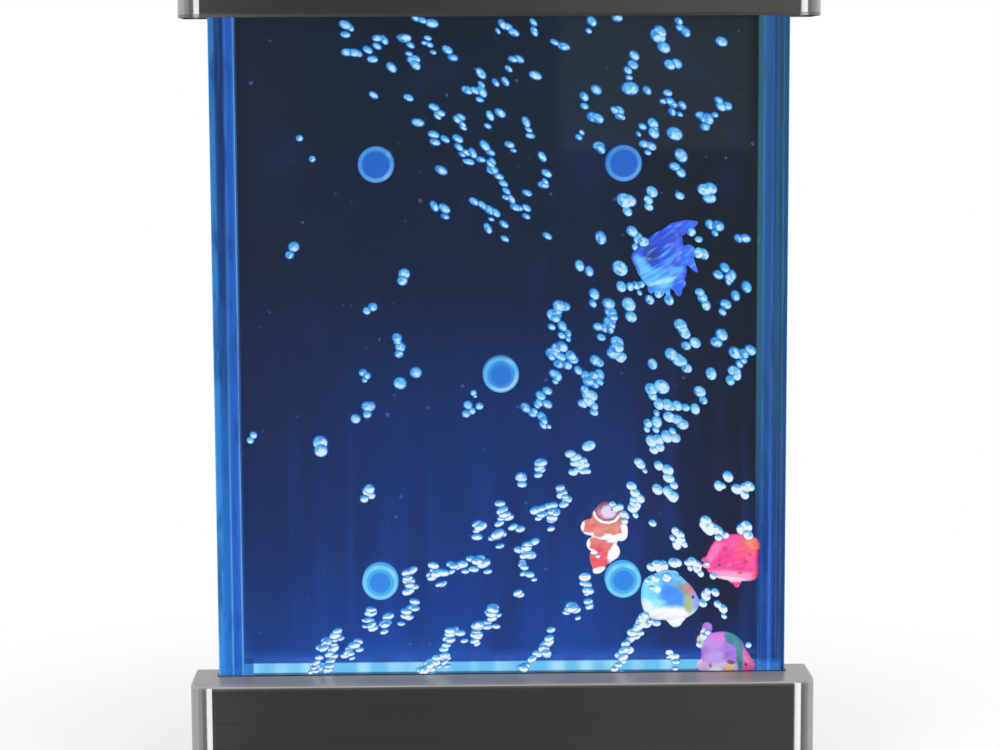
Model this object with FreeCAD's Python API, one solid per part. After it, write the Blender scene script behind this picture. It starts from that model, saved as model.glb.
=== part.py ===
"""Slim bubble wall panel: a thin lit water tank in a stainless base, under a lift-off stainless cap.

Millimetres. +X is to the right, the front faces -Y, +Z is up.
The origin is on the floor, under the middle of the panel.
"""
import FreeCAD
import Part
import math
import os
from typing import NamedTuple

# Tank: two acrylic sheets with bonded bars between them
tank_width = 550.0
tank_visible_height = 632.0
sheet_thickness = 4.0
water_gap = 17.0
side_bar_width = 14.0
side_spacer_width = 10.0
tank_in_base = 38.0
tank_in_cap = 30.0
tank_floor_drop = 8.0
light_strip_thickness = 2.5
light_strip_height = 13.0
light_strip_end_gap = 8.0

# Round spacers that keep the two sheets from bulging
spacer_diameter = 35.0
spacer_bevel_width = 4.5
spacer_bevel_depth = 2.5
spacer_column_inset = 157.0
spacer_row_pitch = 202.0
spacer_centre_height = 292.0

# Stainless base and cap
front_ledge = 45.0
channel_rear_gap = 0.6
side_ledge = 25.0
cap_height = 55.0
steel = 1.5
front_corner_radius = 22.0
rear_corner_radius = 3.0
fold_radius = 3.0
flange_width = 12.0
rear_flange_width = 8.0
cover_gap = 0.5
cover_recess = 0.1
slot_margin = 1.5
gasket_lip = 0.6
gasket_depth = 4.0
foot_height = 4.0
foot_diameter = 20.0
foot_inset = 35.0
foot_row_offset = 22.0

# Cap fittings
cap_plate_recess = 2.0
cap_plate_gap = 0.3
cap_post_diameter = 8.0
cap_post_row_offset = 20.0
cap_pad_thickness = 3.5
cap_rest_length = 40.0

# Cradle that carries the tank
channel_wall = 2.0
channel_gap = 0.3
channel_overhang = 3.0
channel_rim_gap = 1.0
tank_pad_thickness = 4.0
tank_pad_length = 46.0
bracket_width = 40.0
bracket_steel = 2.0
bracket_end_inset = 25.0
bracket_front = -10.0
bracket_foot_depth = 34.0
bracket_head_gap = 0.3

# Air system
jet_count = 5
jet_left_gap = 70.0
jet_right_gap = 44.0
jet_row_depth = 5.0
jet_diameter = 6.0
jet_bore = 2.0
jet_seat = 4.0
jet_proud = 2.0
riser_diameter = 6.0
riser_bore = 2.4
riser_seat = 10.0
manifold_diameter = 12.0
manifold_wall = 2.0
manifold_end = 12.0
stack_gap = 1.0
hose_diameter = 7.0
hose_bore = 4.4
nipple_diameter = 4.0
nipple_bore = 2.4
nipple_length = 12.0
valve_diameter = 14.0
valve_length = 26.0
pump_hose_length = 34.0
hose_turn_margin = 2.0

# Air pump: a magnet on a rocking arm works a rubber diaphragm
pump_length = 96.0
pump_depth = 40.0
pump_case_height = 45.5
pump_lid_thickness = 3.0
pump_wall = 2.5
pump_centre_x = -127.0
pump_centre_y = 8.0
pump_mount_height = 4.0
pump_mount_diameter = 10.0
pump_mount_inset = 9.0
valve_head_length = 26.0
valve_head_depth = 24.0
valve_head_height = 14.0
diaphragm_height = 8.0
diaphragm_foot_diameter = 22.0
diaphragm_top_diameter = 15.0
arm_thickness = 4.0
arm_depth = 12.0
arm_pivot_inset = 13.0
arm_boss_diameter = 9.0
diaphragm_reach = 23.0
pivot_pin_diameter = 4.0
pivot_running_gap = 0.05
cheek_thickness = 3.0
cheek_gap = 0.3
cheek_width = 10.0
magnet_length = 10.0
magnet_height = 12.0
core_gap = 2.5
core_wall_gap = 1.0
core_length = 22.0
core_depth = 20.0
core_leg = 4.0
core_middle_leg = 6.0
core_foot = 3.0
coil_gap = 0.4

# Light and control electronics
led_board_length = 330.0
led_board_width = 9.0
board_thickness = 1.6
led_count = 20
led_size = 5.0
led_height = 1.4
control_board_left = 50.0
control_board_length = 120.0
control_board_width = 20.0
control_board_front = -22.0
standoff_height = 4.5
standoff_diameter = 6.0
standoff_inset = 5.0
connector_width = 8.0
connector_height = 7.4
wire_diameter = 3.0
wire_bend = 10.0
wire_row_inset = 4.0
led_wire_x = 70.0
led_wire_drop = 9.0
led_wire_gap = 2.5

# Recess in the rear cover for the power inlet and the push button
pocket_left = 100.0
pocket_width = 70.0
pocket_height = 30.0
pocket_clearance = 0.5
pocket_centre_height = 45.0
inlet_x = 120.0
inlet_barrel_diameter = 8.0
inlet_bore = 5.6
inlet_pin_diameter = 2.0
inlet_proud = 6.0
inlet_body = 12.0
button_x = 150.0
button_barrel_diameter = 12.0
button_diameter = 8.0
button_gap = 0.3
button_proud = 7.0
button_barrel_proud = 3.0
button_travel = 2.5

# Screws
screw_diameter = 3.0
screw_clearance = 0.2
screw_head_diameter = 5.6
screw_head_height = 1.6
screw_socket = 2.0
screw_length = 6.0

# Plastic fish, and where each one's middle is from the walls, the tank's floor and the low right spacer
fish_thickness = 11.0
fish_sheet_gap = 0.5
fin_thickness = 2.4
blue_from_wall = 98.0
blue_over_base = 398.0
orange_left_of_spacer = 20.0
orange_over_spacer_rim = 32.5
pale_from_spacer_rim = 30.5
pale_under_spacer = 19.0
red_from_wall = 28.0
red_over_floor = 116.0
violet_from_wall = 26.8
violet_over_floor = 21.6

# Where the fins of every fish leave its body, as shares of its half length and half height
tail_root_share = 0.55
tail_notch_share = 0.9
top_fin_start = (-0.45, 0.7)
top_fin_crest = 0.2
top_fin_end = (0.8, 0.5)
belly_fin_start = (-0.2, 0.7)
belly_fin_crest = 0.25
belly_fin_end = (0.5, 0.75)

# Where the screws sit, as shares of the case's half width and of the cover's height
front_screw_share = 0.7
low_screw_share = 0.3
side_screw_shares = (0.2, 0.5, 0.8)


class FishSize(NamedTuple):
    """One plastic fish: its body, its fins, where its middle is and which way it points."""

    name: str
    body_length: float
    body_height: float
    tail_length: float
    tail_span: float
    top_fin: float
    belly_fin: float
    middle_x: float
    middle_z: float
    turn: float
    faces_right: bool


# Levels, from the floor upwards
floor_plate_top = foot_height + steel
pump_bottom = floor_plate_top + pump_mount_height
pump_top = pump_bottom + pump_case_height + pump_lid_thickness
manifold_level = pump_top + stack_gap + manifold_diameter / 2
channel_bottom = manifold_level + manifold_diameter / 2 + stack_gap + bracket_steel
channel_floor = channel_bottom + channel_wall
tank_bottom = channel_floor + tank_pad_thickness
base_top = tank_bottom + tank_in_base
cap_bottom = base_top + tank_visible_height
cap_top = cap_bottom + cap_height
tank_top = cap_bottom + tank_in_cap
tank_floor = base_top - tank_floor_drop
spacer_middle_level = base_top + spacer_centre_height
spacer_low_level = spacer_middle_level - spacer_row_pitch
spacer_high_level = spacer_middle_level + spacer_row_pitch
led_wire_level = manifold_level - manifold_diameter / 2 - led_wire_drop

# Places across the width and the depth
tank_depth = 2 * sheet_thickness + water_gap
rear_margin = channel_gap + channel_wall + channel_rear_gap + 2 * steel + cover_recess
panel_width = tank_width + 2 * side_ledge
panel_depth = front_ledge + tank_depth + rear_margin
half_width = panel_width / 2
front = -panel_depth / 2
rear = panel_depth / 2
tank_half = tank_width / 2
tank_front = front + front_ledge
tank_rear = tank_front + tank_depth
water_front = tank_front + sheet_thickness
water_rear = water_front + water_gap
water_half = tank_half - side_bar_width - side_spacer_width
jet_y = water_front + jet_row_depth
led_board_front = jet_y + riser_diameter / 2 + channel_gap
led_wire_rear = jet_y + manifold_diameter / 2 + led_wire_gap + wire_diameter / 2
cover_outside = rear - cover_recess
cover_inside = cover_outside - steel
pocket_floor = jet_y + manifold_diameter / 2 + pocket_clearance + steel
channel_end = tank_half + channel_overhang
bracket_x = tank_half - bracket_end_inset
post_x = tank_half + (side_ledge - steel) / 2
hole_radius = screw_diameter / 2 + screw_clearance / 2
jet_pitch = (2 * water_half - jet_left_gap - jet_right_gap) / (jet_count - 1)
jet_places = [jet_left_gap - water_half + n * jet_pitch for n in range(jet_count)]
spacer_column_x = tank_half - spacer_column_inset
spacer_rim_x = spacer_column_x + spacer_diameter / 2
spacer_rim_level = spacer_low_level + spacer_diameter / 2

# Each fish: body length and height, tail length and span, top fin, belly fin, middle, turn, facing
fish_sizes = (
    FishSize("fish_blue", 52.0, 44.0, 11.0, 22.0, 13.0, 9.0,
             water_half - blue_from_wall, base_top + blue_over_base, 4.0, False),
    FishSize("fish_orange", 50.0, 28.0, 17.0, 16.0, 8.0, 8.0,
             spacer_column_x - orange_left_of_spacer, spacer_rim_level + orange_over_spacer_rim,
             -98.0, False),
    FishSize("fish_pale", 50.0, 42.0, 4.0, 20.0, 4.0, 6.0,
             spacer_rim_x + pale_from_spacer_rim, spacer_low_level - pale_under_spacer, -6.0, True),
    FishSize("fish_red", 47.0, 46.0, 3.0, 30.0, 3.0, 6.0,
             water_half - red_from_wall, tank_floor + red_over_floor, 0.0, False),
    FishSize("fish_violet", 50.0, 40.0, 6.0, 18.0, 6.0, 2.0,
             water_half - violet_from_wall, tank_floor + violet_over_floor, -14.0, True),
)


def point(x, y, z):
    """Give a point of the panel."""
    return FreeCAD.Vector(x, y, z)


x_axis = point(1, 0, 0)
y_axis = point(0, 1, 0)
z_axis = point(0, 0, 1)


def box(x0, x1, y0, y1, z0, z1):
    """Give a block between two corners."""
    return Part.makeBox(x1 - x0, y1 - y0, z1 - z0, point(x0, y0, z0))


def rod(diameter, length, start, axis):
    """Give a round rod that starts at a point and runs along an axis."""
    return Part.makeCylinder(diameter / 2, length, start, axis)


def pipe(diameter, bore, length, start, axis):
    """Give a straight pipe."""
    return rod(diameter, length, start, axis).cut(rod(bore, length, start, axis))


def joined(solids):
    """Fuse overlapping solids into one clean solid."""
    first = solids[0]
    if len(solids) > 1:
        first = first.fuse(solids[1:])
    return first.removeSplitter()


def plan_face(inset, level):
    """Give the plan of the base and cap: large round corners in front, small ones behind."""
    side = half_width - inset
    y0 = front + inset
    y1 = rear - inset
    big = front_corner_radius - inset
    small = rear_corner_radius - inset
    slant = math.sqrt(0.5)
    edges = []

    def corner(centre_x, centre_y, radius, first, second):
        middle_x = centre_x + math.copysign(radius * slant, centre_x)
        middle_y = centre_y + math.copysign(radius * slant, centre_y)
        edges.append(Part.Arc(first, point(middle_x, middle_y, level), second).toShape())

    right_low = point(side, y0 + big, level)
    right_high = point(side, y1 - small, level)
    left_low = point(-side, y0 + big, level)
    left_high = point(-side, y1 - small, level)
    front_right = point(side - big, y0, level)
    front_left = point(big - side, y0, level)
    rear_right = point(side - small, y1, level)
    rear_left = point(small - side, y1, level)
    edges.append(Part.LineSegment(front_left, front_right).toShape())
    corner(side - big, y0 + big, big, front_right, right_low)
    edges.append(Part.LineSegment(right_low, right_high).toShape())
    corner(side - small, y1 - small, small, right_high, rear_right)
    edges.append(Part.LineSegment(rear_right, rear_left).toShape())
    corner(small - side, y1 - small, small, rear_left, left_high)
    edges.append(Part.LineSegment(left_high, left_low).toShape())
    corner(big - side, y0 + big, big, left_low, front_left)
    return Part.Face(Part.Wire(edges))


def case_block(inset, bottom, top, fold=0.0):
    """Give a solid with the plan of the case, with a rounded top edge where a fold is asked for."""
    block = plan_face(inset, bottom).extrude(z_axis * (top - bottom))
    if fold > 0:
        rim = [edge for edge in block.Edges if min(v.Z for v in edge.Vertexes) > top - 0.001]
        block = block.makeFillet(fold, rim)
    return block


def folded_case(bottom, top):
    """Give a folded and welded steel case, closed on top and open below."""
    outside = case_block(0, bottom, top, fold_radius)
    inside = case_block(steel, bottom - steel, top - steel, fold_radius - steel)
    return outside.cut(inside)


def tank_slot(bottom, top):
    """Give the slot that the tank passes through."""
    return box(-tank_half - slot_margin, tank_half + slot_margin,
               tank_front - slot_margin, tank_rear + slot_margin, bottom, top)


def screw(place, axis, countersunk=False):
    """Give a small screw whose head's seat is at a place, and whose shank runs along an axis."""
    if countersunk:
        head_start = place
        head = Part.makeCone(screw_head_diameter / 2, screw_diameter / 2, steel, head_start, axis)
    else:
        head_start = place - axis * screw_head_height
        head = rod(screw_head_diameter, screw_head_height, head_start, axis)
    solid = head.fuse(rod(screw_diameter, screw_length, place, axis))
    corner_count = 6
    side = screw_socket / math.sqrt(3)
    across = y_axis if abs(axis.y) < 0.5 else z_axis
    up = axis.cross(across)
    ring = []
    for n in range(corner_count + 1):
        angle = 2 * math.pi * n / corner_count
        ring.append(head_start + across * (side * math.cos(angle)) + up * (side * math.sin(angle)))
    socket_depth = screw_head_height / 2
    socket = Part.Face(Part.makePolygon(ring)).extrude(axis * socket_depth)
    return solid.cut(socket).removeSplitter()


def bent_run(corners, bend):
    """Give a path of straight runs joined by tangent arcs."""
    edges = []
    start = corners[0]
    for before, here, after in zip(corners, corners[1:], corners[2:]):
        inward = (before - here).normalize()
        outward = (after - here).normalize()
        half_angle = inward.getAngle(outward) / 2
        trim = bend / math.tan(half_angle)
        first = here + inward * trim
        last = here + outward * trim
        bisector = (inward + outward).normalize()
        middle = here + bisector * (bend / math.sin(half_angle) - bend)
        edges.append(Part.LineSegment(start, first).toShape())
        edges.append(Part.Arc(first, middle, last).toShape())
        start = last
    edges.append(Part.LineSegment(start, corners[-1]).toShape())
    return Part.Wire(edges)


def swept(path, diameter):
    """Sweep a round section along a path."""
    first = path.Edges[0]
    begin = first.Vertexes[0].Point
    heading = first.Vertexes[1].Point - begin
    ring = Part.Wire(Part.makeCircle(diameter / 2, begin, heading))
    return path.makePipeShell([ring], True, False)


def cap_parts():
    """Give the lift-off cap: case, underside plate, posts and screws, and the rests that sit on the tank."""
    plate_bottom = cap_bottom + cap_plate_recess
    plate_top = plate_bottom + steel
    underside = cap_top - steel
    plate = case_block(steel + cap_plate_gap, plate_bottom, plate_top)
    plate = plate.cut(tank_slot(plate_bottom, plate_top))
    posts = []
    screws = []
    for x in (-post_x, post_x):
        for y in (-cap_post_row_offset, cap_post_row_offset):
            hole = rod(2 * hole_radius, screw_length, point(x, y, plate_bottom), z_axis)
            post = rod(cap_post_diameter, underside - plate_top, point(x, y, plate_top), z_axis)
            posts.append(post.cut(hole))
            plate = plate.cut(hole)
            screws.append(screw(point(x, y, plate_bottom), z_axis))
    rests = []
    pads = []
    for x0 in (-tank_half, tank_half - cap_rest_length):
        pad_top = tank_top + cap_pad_thickness
        rests.append(box(x0, x0 + cap_rest_length, tank_front, tank_rear, pad_top, underside))
        pads.append(box(x0, x0 + cap_rest_length, tank_front, tank_rear, tank_top, pad_top))
    return {
        "cap_shell": folded_case(cap_bottom, cap_top),
        "cap_plate": plate,
        "cap_posts": Part.makeCompound(posts),
        "cap_screws": Part.makeCompound(screws),
        "cap_rests": Part.makeCompound(rests),
        "cap_pads": Part.makeCompound(pads),
    }


def spacer(x, z):
    """Give one round spacer with bevelled ends, bonded between the two sheets."""
    start = point(x, water_front, z)
    narrow = spacer_diameter / 2 - spacer_bevel_width
    middle_length = water_gap - 2 * spacer_bevel_depth
    near = Part.makeCone(narrow, spacer_diameter / 2, spacer_bevel_depth, start, y_axis)
    middle = rod(spacer_diameter, middle_length, start + y_axis * spacer_bevel_depth, y_axis)
    far_start = start + y_axis * (water_gap - spacer_bevel_depth)
    far = Part.makeCone(spacer_diameter / 2, narrow, spacer_bevel_depth, far_start, y_axis)
    return joined([near, middle, far])


def tank_parts():
    """Give the water tank: sheets, bars, floor with its air jets, light strip and round spacers."""
    def sheet(y):
        return box(-tank_half, tank_half, y, y + sheet_thickness, tank_bottom, tank_top)

    def upright(x0, width):
        return box(x0, x0 + width, water_front, water_rear, tank_bottom, tank_top)

    spacer_x = tank_half - side_bar_width
    floor_bar = box(-water_half, water_half, water_front, water_rear, tank_bottom, tank_floor)
    jets = []
    fit = 2 * screw_clearance
    for x in jet_places:
        foot = point(x, jet_y, tank_bottom)
        floor_bar = floor_bar.cut(rod(jet_bore, tank_in_base, foot, z_axis))
        floor_bar = floor_bar.cut(rod(riser_diameter + fit, riser_seat + screw_clearance, foot, z_axis))
        seat = point(x, jet_y, tank_floor - jet_seat)
        floor_bar = floor_bar.cut(rod(jet_diameter + fit, jet_seat, seat, z_axis))
        jets.append(pipe(jet_diameter, jet_bore, jet_seat + jet_proud, seat, z_axis))
    strip_half = water_half - light_strip_end_gap
    parts = {
        "front_sheet": sheet(tank_front),
        "back_sheet": sheet(water_rear),
        "side_bar_left": upright(-tank_half, side_bar_width),
        "side_bar_right": upright(spacer_x, side_bar_width),
        "side_spacer_left": upright(-spacer_x, side_spacer_width),
        "side_spacer_right": upright(water_half, side_spacer_width),
        "floor_bar": floor_bar,
        "air_jets": Part.makeCompound(jets),
        "light_strip": box(-strip_half, strip_half, water_rear - light_strip_thickness, water_rear,
                           tank_floor, base_top + light_strip_height),
    }
    parts["spacer_centre"] = spacer(0, spacer_middle_level)
    for row, z in (("top", spacer_high_level), ("bottom", spacer_low_level)):
        parts["spacer_" + row + "_left"] = spacer(-spacer_column_x, z)
        parts["spacer_" + row + "_right"] = spacer(spacer_column_x, z)
    return parts


def fin(outline):
    """Give a thin fin from two straight sides and a curved rim: root, rim start, rim middle and rim end."""
    root, start, middle, end = [point(x, -fin_thickness / 2, z) for x, z in outline]
    sides = [
        Part.LineSegment(root, start).toShape(),
        Part.Arc(start, middle, end).toShape(),
        Part.LineSegment(end, root).toShape(),
    ]
    return Part.Face(Part.Wire(sides)).extrude(y_axis * fin_thickness)


def fish(size):
    """Give one plastic fish, a flattened egg-shaped body with a tail and fins, in its place in the water."""
    long_half = size.body_length / 2
    high_half = size.body_height / 2
    body = Part.makeSphere(1.0)
    stretch = FreeCAD.Matrix()
    stretch.scale(long_half, fish_thickness / 2, high_half)
    body = body.transformGeometry(stretch)
    tail_tip = long_half + size.tail_length
    tail_half = size.tail_span / 2
    tail = fin([
        (long_half * tail_root_share, 0),
        (tail_tip, tail_half),
        (tail_tip * tail_notch_share, 0),
        (tail_tip, -tail_half),
    ])
    top_rim = high_half + size.top_fin
    top = fin([
        (0, 0),
        (long_half * top_fin_start[0], high_half * top_fin_start[1]),
        (long_half * top_fin_crest, top_rim),
        (long_half * top_fin_end[0], high_half * top_fin_end[1]),
    ])
    low_rim = -high_half - size.belly_fin
    belly = fin([
        (0, 0),
        (long_half * belly_fin_start[0], low_rim * belly_fin_start[1]),
        (long_half * belly_fin_crest, low_rim),
        (long_half * belly_fin_end[0], low_rim * belly_fin_end[1]),
    ])
    whole = joined([body, tail, top, belly])
    if size.faces_right:
        whole = whole.mirror(point(0, 0, 0), x_axis)
    whole.rotate(point(0, 0, 0), y_axis, -size.turn)
    middle_y = water_front + fish_sheet_gap + fish_thickness / 2
    whole.translate(point(size.middle_x, middle_y, size.middle_z))
    return whole


def base_case_parts():
    """Give the base's steel case with its return flanges, its floor, rear cover, feet, gasket and screws."""
    flange_top = floor_plate_top + steel
    rear_flange_front = cover_inside - steel
    inner_half = half_width - steel
    inner_top = base_top - steel
    window_half = inner_half - flange_width

    rear_opening = box(-inner_half, inner_half, cover_inside, rear + steel, floor_plate_top, inner_top)
    low_opening = box(-inner_half, inner_half, rear - 2 * steel, rear + steel, foot_height, floor_plate_top)
    low_flange = case_block(steel, floor_plate_top, flange_top)
    low_flange = low_flange.cut(box(-inner_half, inner_half, cover_inside, rear, floor_plate_top, flange_top))
    low_flange = low_flange.cut(box(-window_half, window_half, front + steel + flange_width,
                                    cover_inside - rear_flange_width, floor_plate_top, flange_top))
    rear_flange = box(-inner_half, inner_half, rear_flange_front, cover_inside, floor_plate_top, inner_top)
    rear_flange = rear_flange.cut(box(-window_half, window_half, rear_flange_front, cover_inside,
                                      floor_plate_top + flange_width, inner_top - rear_flange_width))
    shell = folded_case(foot_height, base_top).cut(rear_opening).cut(low_opening)
    shell = joined([shell, low_flange, rear_flange]).cut(tank_slot(inner_top - steel, base_top + steel))

    plate = case_block(steel + cover_gap, foot_height, floor_plate_top)
    cover = box(cover_gap - inner_half, inner_half - cover_gap, cover_inside, cover_outside,
                floor_plate_top + cover_gap, inner_top - cover_gap)
    pocket_right = pocket_left + pocket_width
    pocket_bottom = pocket_centre_height - pocket_height / 2
    pocket_top = pocket_bottom + pocket_height
    cover = cover.fuse(box(pocket_left - steel, pocket_right + steel, pocket_floor - steel, cover_inside,
                           pocket_bottom - steel, pocket_top + steel))
    cover = cover.cut(box(pocket_left, pocket_right, pocket_floor, rear, pocket_bottom, pocket_top))
    for x, diameter in ((inlet_x, inlet_barrel_diameter), (button_x, button_barrel_diameter)):
        behind = point(x, pocket_floor - steel, pocket_centre_height)
        cover = cover.cut(rod(diameter + 2 * screw_clearance, steel, behind, y_axis))

    side_flange_x = inner_half - flange_width / 2
    front_screw_x = half_width * front_screw_share
    floor_places = [(x, front + steel + flange_width / 2) for x in (-front_screw_x, 0, front_screw_x)]
    floor_places += [(x, 0) for x in (-side_flange_x, side_flange_x)]
    floor_screws = []
    for x, y in floor_places:
        hole = rod(2 * hole_radius, screw_length, point(x, y, foot_height), z_axis)
        plate = plate.cut(hole)
        shell = shell.cut(hole)
        floor_screws.append(screw(point(x, y, foot_height), z_axis))

    cover_span = base_top - floor_plate_top
    cover_places = [(x, floor_plate_top + cover_span * share)
                    for x in (-side_flange_x, side_flange_x) for share in side_screw_shares]
    low_screw_x = half_width * low_screw_share
    cover_places += [(x, floor_plate_top + flange_width / 2) for x in (-low_screw_x, low_screw_x)]
    cover_screws = []
    inward = y_axis * -1
    for x, z in cover_places:
        place = point(x, cover_outside, z)
        hole = rod(2 * hole_radius, screw_length, place, inward)
        sink = Part.makeCone(screw_head_diameter / 2 + screw_clearance, hole_radius, steel, place, inward)
        cover = cover.cut(hole).cut(sink)
        shell = shell.cut(hole)
        cover_screws.append(screw(place, inward, countersunk=True))

    feet = []
    for x in (foot_inset - half_width, half_width - foot_inset):
        for y in (-foot_row_offset, foot_row_offset):
            foot_tip = foot_diameter / 2 - steel
            feet.append(Part.makeCone(foot_tip, foot_diameter / 2, foot_height, point(x, y, 0), z_axis))

    gasket_bottom = base_top - gasket_depth
    gasket_top = base_top + gasket_lip
    gasket = tank_slot(gasket_bottom, gasket_top)
    gasket = gasket.cut(box(-tank_half, tank_half, tank_front, tank_rear, gasket_bottom, gasket_top))
    return {
        "base_shell": shell.removeSplitter(),
        "base_floor": plate,
        "rear_cover": cover.removeSplitter(),
        "floor_screws": Part.makeCompound(floor_screws),
        "rear_cover_screws": Part.makeCompound(cover_screws),
        "feet": Part.makeCompound(feet),
        "slot_gasket": gasket,
    }


def cradle_parts():
    """Give the channel that the tank's foot stands in, its two brackets, its pads and screws."""
    channel_front = tank_front - channel_gap - channel_wall
    channel_rear = tank_rear + channel_gap + channel_wall
    channel_rim = base_top - gasket_depth - channel_rim_gap
    channel = box(-channel_end, channel_end, channel_front, channel_rear, channel_bottom, channel_rim)
    channel = channel.cut(box(-channel_end, channel_end, channel_front + channel_wall,
                              channel_rear - channel_wall, channel_floor, channel_rim))
    for x in jet_places:
        riser_hole = point(x, jet_y, channel_bottom)
        channel = channel.cut(rod(riser_diameter + 2 * screw_clearance, channel_wall, riser_hole, z_axis))
    wire_hole = point(led_wire_x, led_wire_rear, channel_bottom)
    channel = channel.cut(rod(wire_diameter + 2 * screw_clearance, channel_wall, wire_hole, z_axis))

    screws = []
    brackets = {}
    bracket_head = channel_rear - bracket_head_gap
    foot_rear = bracket_front + bracket_foot_depth
    screw_row = (jet_y + manifold_diameter / 2 + bracket_head) / 2
    for side, x in (("left", -bracket_x), ("right", bracket_x)):
        x0 = x - bracket_width / 2
        x1 = x + bracket_width / 2
        bracket = joined([
            box(x0, x1, bracket_front, foot_rear, floor_plate_top, floor_plate_top + bracket_steel),
            box(x0, x1, bracket_front, bracket_front + bracket_steel, floor_plate_top, channel_bottom),
            box(x0, x1, bracket_front, bracket_head, channel_bottom - bracket_steel, channel_bottom),
        ])
        for shift in (-bracket_width / 4, bracket_width / 4):
            head_seat = point(x + shift, screw_row, channel_bottom - bracket_steel)
            hole = rod(2 * hole_radius, bracket_steel + channel_wall, head_seat, z_axis)
            bracket = bracket.cut(hole)
            channel = channel.cut(hole)
            short = screw(head_seat, z_axis)
            limit = box(x0, x1, front, rear, floor_plate_top, channel_floor)
            screws.append(short.common(limit))
        brackets["bracket_" + side] = bracket

    pads = []
    for x0 in (-tank_half, tank_half - tank_pad_length):
        pads.append(box(x0, x0 + tank_pad_length, tank_front, tank_rear, channel_floor, tank_bottom))
    parts = {
        "tank_channel": channel,
        "bracket_screws": Part.makeCompound(screws),
        "tank_pads": Part.makeCompound(pads),
    }
    parts.update(brackets)
    return parts


def light_parts():
    """Give the light board in the channel and its row of chips."""
    rear_edge = led_board_front + led_board_width
    board_top = channel_floor + board_thickness
    board_half = led_board_length / 2
    board = box(-board_half, board_half, led_board_front, rear_edge, channel_floor, board_top)
    pitch = led_board_length / led_count
    y0 = led_board_front + (led_board_width - led_size) / 2
    chips = []
    for n in range(led_count):
        x0 = (n + 0.5) * pitch - board_half - led_size / 2
        chips.append(box(x0, x0 + led_size, y0, y0 + led_size, board_top, board_top + led_height))
    return {"led_board": board, "led_chips": Part.makeCompound(chips)}


pump_left = pump_centre_x - pump_length / 2
pump_right = pump_centre_x + pump_length / 2
pump_floor = pump_bottom + pump_wall
outlet_level = pump_floor + valve_head_height / 2
arm_bottom = pump_floor + valve_head_height + diaphragm_height
arm_level = arm_bottom + arm_thickness / 2
pivot_x = pump_right - pump_wall - arm_pivot_inset
diaphragm_x = pivot_x - diaphragm_reach
core_middle = pump_left + pump_wall + core_wall_gap + core_length / 2
arm_tip = core_middle + magnet_length / 2


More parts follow.
